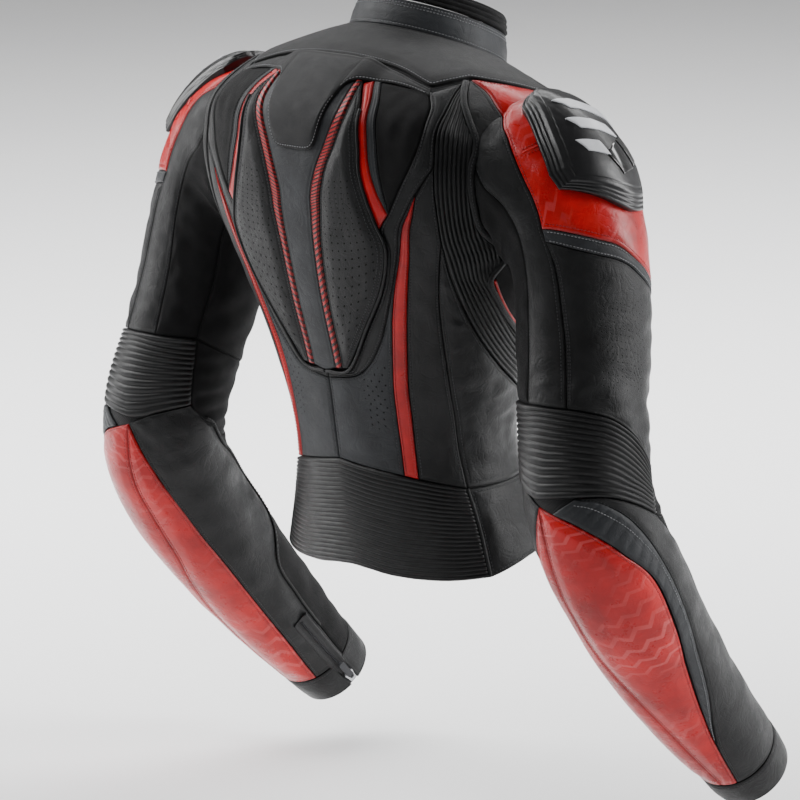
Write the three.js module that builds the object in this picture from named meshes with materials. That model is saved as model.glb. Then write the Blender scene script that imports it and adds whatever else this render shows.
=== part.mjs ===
// Leather riding jacket, seen as a rider's body would fill it. Millimetres, +Z up.
// The origin is the centre of the neck opening at the collar seam. The back faces -Y
// and +X is the wearer's right. Every panel is a thin closed patch of one of four
// surfaces: the torso, the collar, a sleeve, or the centre front.
import * as THREE from 'three';
import { mergeVertices } from 'three/addons/utils/BufferGeometryUtils.js';

// ---- Driving sizes, mm ----
const backLength = 540;          // neck seam to hem at the centre back
const neckHalfWidth = 80;
const neckBackDepth = 78;
const neckFrontDepth = 76;
const collarHeight = 44;
const collarTopRadius = 69;
const chestHalfWidth = 206;      // at the armholes, before they are cut
const chestBackDepth = 187;
const chestFrontDepth = 90;
const waistHalfWidth = 118;
const waistBackDepth = 129;
const waistFrontDepth = 66;
const hemHalfWidth = 160;
const hemBackDepth = 111;
const hemFrontDepth = 108;
const armholeX = 185;            // plane of each armhole
const sleeveLength = 752;        // armhole to cuff along the middle of the sleeve
const upperArmRadius = 62;
const cuffRadius = 40;
const leather = 2.5;             // wall of every panel
const humpLift = 3;              // padded hump above the lower back
const seamGap = 0.46;            // half of the joint between two panels
const armholeGap = 0.5;          // torso edge to the armhole plane
const sleeveStart = 0.3;         // armhole plane to the first edge of the sleeve
const tabGap = 0.9;              // between the spine strip and the tab laid on it
const zipTapeHalf = 14;          // half width of the front zip with its tapes
const zipChainHalf = 3.2;
const zipChainLift = 1.6;
const sliderLength = 13;
const sliderWidth = 11;
const sliderThickness = 3.2;
const sliderGap = 0.5;
const pullLength = 26;
const pullWidth = 7;
const pullThickness = 2;
const pullTop = 1.1;             // how far the pull reaches past its pivot
const pullGap = 0.9;             // room under the pull, so that it can turn over
const cupTopHeight = 17;         // rise of the hard shoulder cup over the sleeve, on top of the shoulder
const cupHeight = 5;             // and near its lower end
const cupTopRim = 15;            // rise of its rim on top of the shoulder
const cupRim = 2;                // and below that
const cupWall = 3;
const cuffZipHalf = 5;           // half width of the cuff zip
const meshAcross = 30;           // longest cell across and along a panel
const meshAlong = 32;

// The seams are drafted on a block of these sizes and graded to the driving sizes.
const draftLength = 540;
const draftSleeve = 752;
const draftHalfGirth = [[-530, 432], [-450, 366], [-408, 342], [-309, 397], [-241, 456],
  [-198, 497], [-148, 545], [-91, 566], [-46, 548], [-8, 446], [20, 255]];

const red = { color: 0xd0141a, roughness: 0.32, metalness: 0 };
const blackLeather = { color: 0x232527, roughness: 0.55, metalness: 0 };
const greyLeather = { color: 0x3a3d40, roughness: 0.6, metalness: 0 };
const stretchCloth = { color: 0x141516, roughness: 0.9, metalness: 0 };
const hardPlastic = { color: 0x17181a, roughness: 0.35, metalness: 0 };
const brushedMetal = { color: 0xb9bcc0, roughness: 0.3, metalness: 0.9 };

const jacket = new THREE.Group();

// ---- Small helpers ----
const mix = (a, b, t) => a + (b - a) * t;
const clamp = (x, low, high) => Math.min(high, Math.max(low, x));
const radians = THREE.MathUtils.degToRad;

function ease(t) {
  const c = clamp(t, 0, 1);
  return c * c * (3 - 2 * c);
}

// Cubic interpolation of rows [x, value, value, ...] with x rising.
function track(rows, x) {
  const last = rows.length - 1;
  const at = clamp(x, rows[0][0], rows[last][0]);
  let i = 0;
  while (i < last - 1 && at >= rows[i + 1][0]) i += 1;
  const span = (k) => rows[k + 1][0] - rows[k][0];
  const rise = (k, c) => (rows[k + 1][c] - rows[k][c]) / span(k);
  const slope = (k, c) => {
    if (k === 0) return rise(0, c);
    if (k === last) return rise(last - 1, c);
    return (rise(k - 1, c) * span(k) + rise(k, c) * span(k - 1)) / (span(k) + span(k - 1));
  };
  const h = span(i);
  const t = (at - rows[i][0]) / h;
  const t2 = t * t;
  const t3 = t2 * t;
  const values = [];
  for (let c = 1; c < rows[0].length; c += 1) {
    values.push((2 * t3 - 3 * t2 + 1) * rows[i][c] + (t3 - 2 * t2 + t) * h * slope(i, c)
      + (3 * t2 - 2 * t3) * rows[i + 1][c] + (t3 - t2) * h * slope(i + 1, c));
  }
  return values;
}

// ---- Torso surface ----
const lengthGrade = backLength / draftLength;
const waistLevel = -408;
const zipTopLevel = -66;         // height where the straight run of the front zip starts
const frontLean = (z) => mix(chestFrontDepth, waistFrontDepth,
  (zipTopLevel - z) / (zipTopLevel - waistLevel));
// [height at the centre back, back share, width share, forward tilt, fullness]; a share
// goes from neck to chest, then chest to waist, then waist to hem.
const torsoShape = [
  [-530, 1, 1, 0, 2.1], [-450, 0.45, 0.29, 0, 2.1], [-408, 1, 1, 0, 2.1],
  [-309, 0.69, 0.75, 0, 2.1], [-241, 0.345, 0.49, 0, 2.2], [-198, 0.17, 0.295, 8, 2.3],
  [-148, 0.02, 0.08, 20, 2.4], [-91, 1, 1, 36, 2.5], [-46, 0.91, 0.95, 48, 2.4],
  [-28, 0.75, 0.86, 52, 2.3], [-8, 0.495, 0.66, 58, 2.2], [8, 0.23, 0.33, 60, 2.1],
  [20, 0, 0, 60, 2]];
const hemFront = [[-530, hemFrontDepth], [-450, mix(waistFrontDepth, hemFrontDepth, 0.33)]];
const widestY = [[-530, -5], [-408, -30], [-241, -50], [-148, -60], [-46, -45], [20, -5]];

const stations = torsoShape.map(([level, backShare, widthShare, tilt, fullness]) => {
  let back = mix(neckBackDepth, chestBackDepth, backShare);
  let width = mix(neckHalfWidth, chestHalfWidth, widthShare);
  let front = frontLean(level - tilt);
  if (level < waistLevel) {
    back = mix(waistBackDepth, hemBackDepth, backShare);
    width = mix(waistHalfWidth, hemHalfWidth, widthShare);
    front = level === -530 ? hemFront[0][1] : hemFront[1][1];
  } else if (level < -91) {
    back = mix(chestBackDepth, waistBackDepth, backShare);
    width = mix(chestHalfWidth, waistHalfWidth, widthShare);
  }
  if (level === 20) front = neckFrontDepth;
  if (level === 8) front = mix(neckFrontDepth, chestFrontDepth, 0.6);
  return [level, -back, front, width, tilt, fullness];
});

// Point of the torso at an angle from the centre back and a drafted level.
function torsoAngle(angle, level) {
  const [back, front, width, tilt, fullness] = track(stations, level);
  const [middle] = track(widestY, level);
  const power = 2 / fullness;
  const x = width * Math.abs(Math.sin(angle)) ** power;
  const reach = Math.abs(Math.cos(angle)) ** power;
  const y = Math.cos(angle) > 0 ? mix(middle, back, reach) : mix(middle, front, reach);
  const z = level - tilt * (y - back) / (front - back);
  return new THREE.Vector3(x, y, z * lengthGrade);
}

const ringSteps = 160;
const rings = new Map();
function ringAt(level) {
  const key = level.toFixed(3);
  if (!rings.has(key)) {
    const points = [];
    const girth = [0];
    for (let i = 0; i <= ringSteps; i += 1) {
      points.push(torsoAngle(Math.PI * i / ringSteps, level));
      if (i > 0) girth.push(girth[i - 1] + points[i].distanceTo(points[i - 1]));
    }
    rings.set(key, { points, girth, half: girth[ringSteps] });
  }
  return rings.get(key);
}

// Half girth of the drafting block, and the real distance for a drafted one.
const draftGirthAt = (level) => track(draftHalfGirth, level)[0];
function gradedGirth(across, level) {
  return across * ringAt(level).half / draftGirthAt(level);
}

function pointAtGirth(distance, level) {
  const ring = ringAt(level);
  const wanted = clamp(Math.abs(distance), 0, ring.half);
  let i = 1;
  while (i < ringSteps && ring.girth[i] < wanted) i += 1;
  const share = (wanted - ring.girth[i - 1]) / (ring.girth[i] - ring.girth[i - 1]);
  const angle = Math.PI * (i - 1 + share) / ringSteps;
  const point = torsoAngle(angle, level);
  if (distance < 0) point.x = -point.x;
  return point;
}

// The torso chart: drafted girth distance from the centre back, and drafted level.
const torso = (across, level) => pointAtGirth(gradedGirth(across, level), level);
const coreDrop = 60;
const torsoCore = (point) => new THREE.Vector3(0, -45, point.z - coreDrop);
torso.core = torsoCore;
torso.unit = 1;

// The centre front chart: distance to either side of the zip, and drafted level.
function centreFront(x, level) {
  const point = pointAtGirth(ringAt(level).half - Math.abs(x), level);
  point.x = Math.abs(point.x) * Math.sign(x || 1);
  return point;
}
centreFront.core = torsoCore;
centreFront.unit = 1;

// Where the armhole plane cuts a level, behind the arm or before it, in drafted girth.
function armholeAcross(level, side) {
  const ring = ringAt(level);
  const limit = armholeX - armholeGap;
  let widest = 0;
  ring.points.forEach((point, i) => { if (point.x > ring.points[widest].x) widest = i; });
  let i = widest;
  while (ring.points[i].x > limit) i += side;
  const inner = ring.points[i];
  const outer = ring.points[i - side];
  const share = clamp((limit - inner.x) / (outer.x - inner.x), 0, 1);
  const girth = mix(ring.girth[i], ring.girth[i - side], share);
  return girth * draftGirthAt(level) / ring.half;
}
const behindArm = (level) => [armholeAcross(level, -1), level];
const beforeArm = (level) => [armholeAcross(level, 1), level];

// The armhole as a loop of points round its middle, by angle from the top.
function armholeLoop() {
  const behind = [];
  const before = [];
  for (let level = 0; level > -260; level -= 2) {
    const ring = ringAt(level);
    if (Math.max(...ring.points.map((point) => point.x)) > armholeX) {
      for (const [side, list] of [[-1, behind], [1, before]]) {
        const across = armholeAcross(level, side);
        list.push(torso(across, level));
      }
    }
  }
  const all = [...behind, ...before.reverse()];
  const middle = (key) => (Math.min(...all.map((p) => p[key])) + Math.max(...all.map((p) => p[key]))) / 2;
  const centre = new THREE.Vector3(armholeX, middle('y'), middle('z'));
  const loop = all.map((p) => [Math.atan2(centre.y - p.y, p.z - centre.z) * 180 / Math.PI, p.y, p.z]);
  loop.sort((a, b) => a[0] - b[0]);
  const first = loop[0];
  const final = loop[loop.length - 1];
  loop.unshift([final[0] - 360, final[1], final[2]]);
  loop.push([first[0] + 360, first[1], first[2]]);
  return loop;
}
const armhole = armholeLoop();
function armholePoint(degrees) {
  const wrapped = ((degrees + 180) % 360 + 360) % 360 - 180;
  let i = 1;
  while (i < armhole.length - 1 && armhole[i][0] < wrapped) i += 1;
  const [a0, y0, z0] = armhole[i - 1];
  const [a1, y1, z1] = armhole[i];
  const share = (wrapped - a0) / (a1 - a0);
  return new THREE.Vector3(armholeX, mix(y0, y1, share), mix(z0, z1, share));
}

// ---- Sleeve surface ----
// Middle line and the two radii of the sleeve, in drafting sizes, from the armhole down:
// [x, y, z, share of the cuff radius, sideways radius over the upper arm radius, the
// front to back one].
const sleeveShape = [
  [185, -40, -112, 0, 1.4, 1.26], [210, -37, -119, 0, 1.35, 1.2], [236, -43, -150, 0, 1.22, 1.12],
  [253, -53, -203, 0, 1.06, 1.08], [263, -61, -262, 0, 1.04, 1.05], [276, -75, -330, 0, 1, 1.02],
  [293, -86, -398, 0, 1, 1.02], [302, -79, -445, 0, 1, 1.02], [307, -48, -500, 0, 0.99, 1],
  [302, -2, -559, 0.15, 0.99, 1.01], [297, 75, -644, 0.55, 1, 1.03], [296, 125, -693, 0.8, 1, 1.02],
  [293, 161, -727, 1, 1, 1.02]];
const sleeveGrade = sleeveLength / draftSleeve;

function sleeveTable() {
  const top = new THREE.Vector3(...sleeveShape[0].slice(0, 3));
  const rows = [];
  let length = 0;
  let previous = top;
  for (const [x, y, z, cuffShare, sideways, forward] of sleeveShape) {
    const point = new THREE.Vector3(x, y, z);
    length += point.distanceTo(previous);
    previous = point;
    const placed = point.clone().sub(top).multiplyScalar(sleeveGrade).add(top);
    placed.x += armholeX - top.x;
    placed.z += top.z * (lengthGrade - 1);
    const base = mix(upperArmRadius, cuffRadius, cuffShare);
    rows.push([length, placed.x, placed.y, placed.z, base * sideways, base * forward]);
  }
  return rows.map((row) => [row[0] * draftSleeve / length, ...row.slice(1)]);
}
const sleeveRows = sleeveTable();

function sleeveAxes(along) {
  const [x, y, z, sideways, forward] = track(sleeveRows, along);
  const after = track(sleeveRows, along + 0.5);
  const before = track(sleeveRows, along - 0.5);
  const tangent = new THREE.Vector3(after[0] - before[0], after[1] - before[1], after[2] - before[2]);
  tangent.normalize();
  const lateral = new THREE.Vector3(1, 0, 0).addScaledVector(tangent, -tangent.x).normalize();
  const fore = new THREE.Vector3().crossVectors(tangent, lateral);
  return { centre: new THREE.Vector3(x, y, z), tangent, lateral, fore, sideways, forward };
}

// The sleeve chart: degrees from the outside of the arm (90 is its back), and drafted
// distance from the armhole. The first part turns from the armhole into the tube.
const outerBlend = 130;
const armpitBlend = 175;
const outerStart = new THREE.Vector3(0.75, 0, -0.1);
const armpitStart = new THREE.Vector3(0.12, -0.03, -0.43);
function sleeve(degrees, along) {
  const axes = sleeveAxes(along);
  const angle = radians(degrees);
  const tube = axes.centre.clone()
    .addScaledVector(axes.lateral, Math.cos(angle) * axes.sideways)
    .addScaledVector(axes.fore, Math.sin(angle) * axes.forward);
  const outerShare = (1 + Math.cos(angle)) / 2;
  const way = armpitStart.clone().lerp(outerStart, outerShare);
  const start = armholePoint(degrees).addScaledVector(way, along);
  return start.lerp(tube, ease(along / mix(armpitBlend, outerBlend, outerShare)));
}
sleeve.core = (point, degrees, along) => sleeveAxes(along).centre;
sleeve.unit = 1;

// ---- Collar surface ----
// Degrees from the centre back, and the share of the collar's height.
const collarTopY = 8;
const collarFrontHeight = 12;
function collar(degrees, share) {
  const angle = radians(Math.abs(degrees));
  const base = torsoAngle(angle, 20);
  const backHeight = 20 * lengthGrade + collarHeight;
  const top = new THREE.Vector3(collarTopRadius * Math.sin(angle),
    collarTopY - collarTopRadius * Math.cos(angle),
    mix(collarFrontHeight, backHeight, (1 + Math.cos(angle)) / 2));
  const point = base.lerp(top, share);
  if (degrees < 0) point.x = -point.x;
  return point;
}
collar.core = (point) => new THREE.Vector3(0, collarTopY, point.z);
collar.unit = 0.02;          // its second coordinate is a share, not millimetres

// ---- Patches ----
// An edge through chart points, smooth except where a point ends in "corner".
function edgeThrough(points) {
  const last = points.length - 1;
  return (t) => {
    const place = clamp(t, 0, 1) * last;
    const i = Math.min(Math.floor(place), last - 1);
    const f = place - i;
    const isFree = (k) => k > 0 && k < last && points[k][2] !== 'corner';
    return [0, 1].map((c) => {
      const a = points[i][c];
      const b = points[i + 1][c];
      const before = isFree(i) ? points[i - 1][c] : 2 * a - b;
      const after = isFree(i + 1) ? points[i + 2][c] : 2 * b - a;
      return 0.5 * (2 * a + (b - before) * f + (2 * before - 5 * a + 4 * b - after) * f * f
        + (3 * a - before - 3 * b + after) * f * f * f);
    });
  };
}

// A closed thin solid between two edges of a chart that have as many points as each
// other. The start and end edges are straight unless they are given. The solid keeps
// the seam gap on all four sides, and its cells follow the points of its edges.
function patch({ chart, from, to, start, end, outside = 0, inside = -leather, gaps = {}, finer = 1 }) {
  const gap = { start: seamGap, end: seamGap, from: seamGap, to: seamGap, ...gaps };
  const sides = [edgeThrough(from), edgeThrough(to)];
  const straight = (t) => (u) => [0, 1].map((c) => mix(sides[0](t)[c], sides[1](t)[c], u));
  const ends = [start ? edgeThrough(start) : straight(0), end ? edgeThrough(end) : straight(1)];
  const chartAt = (u, t) => straight(t)(u).map((value, c) => value
    + (ends[0](u)[c] - straight(0)(u)[c]) * (1 - t) + (ends[1](u)[c] - straight(1)(u)[c]) * t);
  const pointAt = (u, t) => chart(...chartAt(u, t));
  const lengthOf = (curve) => {
    let sum = 0;
    for (let i = 0; i < 16; i += 1) sum += curve(i / 16).distanceTo(curve((i + 1) / 16));
    return sum;
  };
  const along = Math.max(...[0, 0.5, 1].map((u) => lengthOf((t) => pointAt(u, t))));
  const across = Math.max(...[0, 0.25, 0.5, 0.75, 1].map((t) => lengthOf((u) => pointAt(u, t))));
  const cellCount = (length, segments, size) => segments
    * Math.max(1, Math.round(finer * length / segments / size));
  const rows = cellCount(along, from.length - 1, meshAlong);
  const columns = cellCount(across, ((start ?? end)?.length ?? 2) - 1, meshAcross);
  const outer = [];
  const inner = [];
  const shrink = (share, length, low, high) => mix(Math.min(low / length, 0.3),
    1 - Math.min(high / length, 0.3), share);
  for (let row = 0; row <= rows; row += 1) {
    for (let column = 0; column <= columns; column += 1) {
      const share = column / columns;
      const t = shrink(row / rows, Math.max(lengthOf((k) => pointAt(share, k)), 1), gap.start, gap.end);
      const width = Math.max(pointAt(0, t).distanceTo(pointAt(1, t)), 0.5);
      const u = shrink(share, width, gap.from, gap.to);
      const point = pointAt(u, t);
      const normal = surfaceNormal(chart, ...chartAt(u, t));
      const lift = (value) => (typeof value === 'function' ? value(u, t) : value);
      outer.push(point.clone().addScaledVector(normal, lift(outside)));
      inner.push(point.clone().addScaledVector(normal, lift(inside)));
    }
  }
  return closedSheet(outer, inner, rows, columns);
}

// The outward normal of a chart, from points a little way off on both sides.
function surfaceNormal(chart, a, b) {
  const step = 0.6;
  const acrossWay = chart(a + step, b).sub(chart(a - step, b));
  const alongWay = chart(a, b + step * chart.unit).sub(chart(a, b - step * chart.unit));
  const point = chart(a, b);
  const normal = alongWay.cross(acrossWay).normalize();
  return normal.dot(point.sub(chart.core(point.clone(), a, b))) < 0 ? normal.negate() : normal;
}

// Two matching grids joined round their rims. The winding is set from the volume.
function closedSheet(outer, inner, rows, columns) {
  const positions = [...outer, ...inner].flatMap((p) => [p.x, p.y, p.z]);
  const index = [];
  const wide = columns + 1;
  const back = outer.length;
  const quad = (a, b, c, d) => index.push(a, b, c, a, c, d);
  for (let row = 0; row < rows; row += 1) {
    for (let column = 0; column < columns; column += 1) {
      const a = row * wide + column;
      quad(a, a + 1, a + 1 + wide, a + wide);
      quad(back + a, back + a + wide, back + a + 1 + wide, back + a + 1);
    }
  }
  for (let row = 0; row < rows; row += 1) {
    const a = row * wide;
    quad(a + wide, back + a + wide, back + a, a);
    const b = a + columns;
    quad(b, back + b, back + b + wide, b + wide);
  }
  for (let column = 0; column < columns; column += 1) {
    quad(column, back + column, back + column + 1, column + 1);
    const b = rows * wide + column;
    quad(b + 1, back + b + 1, back + b, b);
  }
  const geometry = new THREE.BufferGeometry();
  geometry.setAttribute('position', new THREE.Float32BufferAttribute(positions, 3));
  geometry.setIndex(index);
  return signedVolume(geometry) < 0 ? flipped(geometry) : geometry;
}

function signedVolume(geometry) {
  const place = geometry.getAttribute('position');
  const index = geometry.getIndex();
  const corner = (k) => new THREE.Vector3().fromBufferAttribute(place, index.getX(k));
  let volume = 0;
  for (let k = 0; k < index.count; k += 3) {
    volume += corner(k).dot(corner(k + 1).cross(corner(k + 2))) / 6;
  }
  return volume;
}

function flipped(geometry) {
  const index = Array.from(geometry.getIndex().array);
  for (let k = 0; k < index.length; k += 3) [index[k], index[k + 1]] = [index[k + 1], index[k]];
  geometry.setIndex(index);
  return geometry;
}

function mirrored(geometry) {
  const copy = geometry.clone();
  copy.scale(-1, 1, 1);
  return flipped(copy);
}

function add(name, geometry, look) {
  geometry.computeVertexNormals();
  const mesh = new THREE.Mesh(geometry, new THREE.MeshStandardMaterial(look));
  mesh.name = name;
  jacket.add(mesh);
  return mesh;
}

function addPair(name, geometry, look) {
  add(`${name}_R`, geometry, look);
  add(`${name}_L`, mirrored(geometry), look);
}

const mirrorPoints = (points) => points.map(([across, level, kind]) => [-across, level, kind]);
const corner = (point) => [point[0], point[1], 'corner'];

// ---- Collar and yoke ----
const collarOpening = 4;         // degrees left open at the centre front
const collarSplit = 0.62;        // share of the height where the soft edge starts
const ringEdge = (share) => [-1, -0.75, -0.5, -0.25, 0, 0.25, 0.5, 0.75, 1]
  .map((side) => [side * (180 - collarOpening), share]);
add('collar_leather', patch({ chart: collar, from: ringEdge(0), to: ringEdge(collarSplit), finer: 1.4 }), greyLeather);
add('collar_soft_edge', patch({ chart: collar, from: ringEdge(collarSplit), to: ringEdge(1),
  outside: 1.2, inside: -leather - 2, finer: 1.4 }), stretchCloth);

const neckLevel = 20;
const shoulderSeamNeck = 150;    // where the shoulder seam meets the neck
const shoulderSeamEnd = 252;     // and where it meets the red shoulder
const yokeSide = [[30, -6], [80, -10], [127, -20, 'corner'], [149, -8, 'corner'], [200, -7], [252, -8]];
const yokeEdge = [...mirrorPoints(yokeSide).reverse(), ...yokeSide];
const neckSide = [18, 48, 76, 89, 120, 150].map((across) => [across, neckLevel]);
const neckEdge = [...mirrorPoints(neckSide).reverse(), ...neckSide];
add('yoke', patch({ chart: torso, from: neckEdge, to: yokeEdge }), stretchCloth);

// The second yoke layer ends in a tab that lies on the spine strip.
const tabTop = [[-47, -9.5], [-40, -9], [-20, -8], [0, -8], [20, -8], [40, -9], [47, -9.5]];
const tabBottom = [[-38, -42], [-33, -66], [-20, -91], [0, -91], [20, -91], [33, -66], [38, -42]];
add('spine_tab', patch({ chart: torso, from: tabTop, to: tabBottom, outside: humpLift + leather + tabGap,
  inside: humpLift + tabGap, finer: 3 }), stretchCloth);

// ---- Back, from the spine outward ----
const stripSide = [[51, -24], [51, -52], [40, -82], [30, -106], [22, -132], [21, -152], [19, -182],
  [17, -224], [16, -268], [15, -312]];
add('spine_strip', patch({ chart: torso, from: mirrorPoints(stripSide), to: stripSide,
  outside: humpLift, inside: humpLift - leather, finer: 1.4 }), greyLeather);

const humpSide = [[58, -25], [74, -48], [78, -76], [81, -106], [88, -132], [95, -154], [102, -182],
  [88, -224], [60, -268], [30, -312]];
addPair('hump_side', patch({ chart: torso, from: stripSide, to: humpSide, outside: humpLift,
  inside: humpLift - leather }), blackLeather);

const redCrescentOuter = [[68, -22], [80, -40], [87, -66], [90, -92], [98, -120], [110, -146, 'corner']];
addPair('red_crescent', patch({ chart: torso, from: [[58, -25], [74, -48], [78, -76], [81, -106],
  [88, -132], [98, -163]], to: redCrescentOuter }), red);

const strapInner = [[130, -25], [143, -40], [146, -64], [137, -94], [128, -113], [111, -146, 'corner']];
addPair('stretch_panel', patch({ chart: torso, from: redCrescentOuter, to: strapInner }), stretchCloth);

const strapLower = [[99, -164], [103, -184], [89, -226], [61, -270], [31, -315, 'corner'], [0, -316]];
const strapMeetsStripe = [139, -125, 'corner'];
const strapOuter = [strapMeetsStripe, [129, -143], [120, -160], [112, -190], [96, -232], [72, -282],
  [42, -316], [0, -325, 'corner']];
addPair('back_strap', patch({ chart: torso, from: [...strapInner, ...strapLower],
  to: [[150, -13], [159, -40], [160, -66], [160, -94, 'corner'], ...strapOuter] }), blackLeather);

const stripeInner = [[140, -127], [131, -144], [123, -160], [114, -190], [98, -234], [84, -284], [76, -325],
  [74, -360], [74, -388], [74, -419]];
addPair('lower_back', patch({ chart: torso, from: [...strapOuter, [0, -366], [0, -408]], to: stripeInner }),
  greyLeather);

const stripeOuter = [[141, -125, 'corner'], [136, -144], [131, -160], [124, -190], [112, -234], [99, -284],
  [91, -325], [89, -360], [88, -388], [88, -422]];
addPair('red_stripe', patch({ chart: torso, from: stripeInner, to: stripeOuter }), red);

const waistSide = [136, -432, 'corner'];
const sideSeam = [[160, -172, 'corner'], [152, -198], [144, -230], [138, -264], [134, -298], [132, -330],
  [132, -360], [132, -394], waistSide];
addPair('back_side', patch({ chart: torso, from: [[160, -94, 'corner'], ...stripeOuter],
  to: [[160, -95, 'corner'], [161, -146], ...sideSeam] }), blackLeather);

// ---- Ribbed panel behind and under the arm ----
// The level where the armhole plane just touches the torso, above or below the arm.
const chestLevel = -100;
function armholeLimit(outsideLevel) {
  let within = chestLevel;
  let beyond = outsideLevel;
  const widest = (level) => Math.max(...ringAt(level).points.map((point) => point.x));
  for (let i = 0; i < 20; i += 1) {
    const middle = (within + beyond) / 2;
    if (widest(middle) > armholeX - armholeGap) within = middle;
    else beyond = middle;
  }
  return within;
}
const armholeTopLevel = armholeLimit(0) - 0.2;
const armholeLowLevel = armholeLimit(-300) + 0.2;

const ribEdge = [[160, -94, 'corner'], [161, -146], [160, -172, 'corner']];
const ribLower = [[160, -172, 'corner'], [160, -192], [161, -212], [166, -248], [176, -282], [194, -312],
  [222, -336], [252, -349, 'corner']];
const underArm = corner(beforeArm(armholeLowLevel + 1));
const shoulderSeamLevel = -36;   // where the back seam of the red shoulder meets the armhole
const shoulderSeamBack = [[152, -9.5], [182, -19], corner(behindArm(shoulderSeamLevel))];
const frontSide = [underArm, [300, -212], [299, -236], [297, -262], [295, -288], [292, -312, 'corner']];
addPair('ribbed_panel', patch({ chart: torso,
  from: [[151, -13], [159, -40], [160, -66], ...ribEdge, ...ribLower.slice(1)],
  to: [...shoulderSeamBack, behindArm(-72), behindArm(-112), behindArm(-148),
    behindArm(armholeLowLevel + 4), ...frontSide] }), blackLeather);

const sideFront = [[252, -349, 'corner'], [252, -386], [252, -426, 'corner']];
addPair('side_panel', patch({ chart: torso, from: sideSeam, to: [...ribLower, sideFront[2]] }), blackLeather);

// ---- Front ----
const inFront = (level) => [draftGirthAt(level) - zipTapeHalf, level];
const armLevels = [-40, -66, -92, -118, -144, -170];
addPair('front_panel', patch({ chart: torso, from: [[shoulderSeamNeck, 20], corner([shoulderSeamEnd, -8]),
  ...armLevels.map(beforeArm), ...frontSide, ...sideFront],
  to: [20, -8, ...armLevels, -192, -214, -236, -262, -288, -312, -349, -386, -422].map(inFront) }),
blackLeather);

// ---- Waist ----
const waistSeam = [[0, -408, 'corner'], [74, -419, 'corner'], [88, -422, 'corner'], waistSide];
const hemBack = [[0, -519], [56, -524], [108, -524], [156, -519]];
add('waist_band', patch({ chart: torso, from: [...mirrorPoints(waistSeam).reverse(), ...waistSeam.slice(1)],
  to: [...mirrorPoints(hemBack).reverse(), ...hemBack.slice(1)] }), blackLeather);
const hemFrontLevel = -490;
addPair('hem_side', patch({ chart: torso,
  from: [waistSide, [194, -429], sideFront[2], [290, -424.2], corner(inFront(-422))],
  to: [[156, -519], [205, -502], [262, -494], [330, hemFrontLevel], inFront(hemFrontLevel)],
  end: [-422, -436, -450, -470, hemFrontLevel].map(inFront) }), blackLeather);

// ---- Red sleeve head: the piece that stays on the torso, and the sleeve's own ----
addPair('shoulder_red', patch({ chart: torso, from: [[152, -9.5], [168, -8.5], [186, -8.2], [203, -8],
  [220, -8], [236, -8], [251, -9]],
  to: [behindArm(shoulderSeamLevel), ...[6, 2, 0].map((drop) => behindArm(armholeTopLevel - drop)),
    ...[2, 7].map((drop) => beforeArm(armholeTopLevel - drop)), beforeArm(-38)],
  start: shoulderSeamBack }), red);

const headRear = [[30, 0], [45, 26], [56, 42], [64, 57], [69, 74], [74, 99, 'corner']];
const headFront = [[-33, 0], [-50, 38], [-60, 80], [-66, 146, 'corner']];
const headBottom = [[74, 99, 'corner'], [53, 105], [33, 108.5], [12, 112], [-16, 124], [-66, 146, 'corner']];
const atArmhole = { start: sleeveStart };
addPair('sleeve_head_red', patch({ chart: sleeve, from: headRear, to: headFront, end: headBottom,
  gaps: { ...atArmhole, from: 0.6, to: 0.6 }, finer: 1.5 }), red);

const cupGap = 1.3;              // room under the hard cup for the curve of the sleeve
const cupOutline = {
  from: [[-30, 8], [-40, 22], [-46, 44], [-44, 72], [-24, 93]],
  to: [[2, 6], [24, 22], [42, 50], [51, 72], [50, 81]],
  start: [[-30, 8], [-14, 6.5], [2, 6]],
  end: [[-24, 93], [0, 94], [25, 88], [50, 81]],
};
const cupRise = (u, t) => cupGap + cupWall + mix(mix(cupTopRim, cupRim, ease(2 * t)),
  mix(cupTopHeight, cupHeight, ease(t)), ease(3 * Math.min(u, 1 - u)));
addPair('shoulder_cup', patch({ chart: sleeve, ...cupOutline, outside: cupRise, inside: cupGap, finer: 2.4 }),
  hardPlastic);

// ---- Upper sleeve ----
const armSeamBack = 146;         // degrees of the seam at the inside of the arm
const rearSeam = [[74, 99, 'corner'], [69, 130], [65.5, 172], [64, 217], [63, 260, 'corner']];
const outerFront = [[-66, 146, 'corner'], [-66, 180], [-66, 213], [-66, 247], [-66, 281, 'corner']];
const ribsOuterTop = [[63, 260, 'corner'], [45, 265], [21, 273], [-8, 292], [-32, 318, 'corner']];
addPair('sleeve_outer', patch({ chart: sleeve, from: rearSeam, to: outerFront, start: headBottom,
  end: [...ribsOuterTop, [-66, 281, 'corner']], finer: 1.5 }), blackLeather);

const innerSeam = [0, 38, 66, 95, 130, 172, 208, 243].map((along) => [armSeamBack, along]);
const ribsRearTop = [[146, 243, 'corner'], [116, 249], [90, 254], [63, 260, 'corner']];
addPair('sleeve_rear', patch({ chart: sleeve, from: innerSeam, to: [...headRear, ...rearSeam.slice(1)],
  end: ribsRearTop, gaps: { ...atArmhole, from: 0.9 }, finer: 1.5 }), blackLeather);

const frontSeam = [[327, 0], [310, 38], [301, 80], [294, 146, 'corner'], [294, 180], [294, 213], [294, 247],
  [294, 281, 'corner']];
addPair('sleeve_inner', patch({ chart: sleeve, from: innerSeam, to: frontSeam,
  gaps: { ...atArmhole, from: 0.9 }, finer: 1.5 }), stretchCloth);

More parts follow.
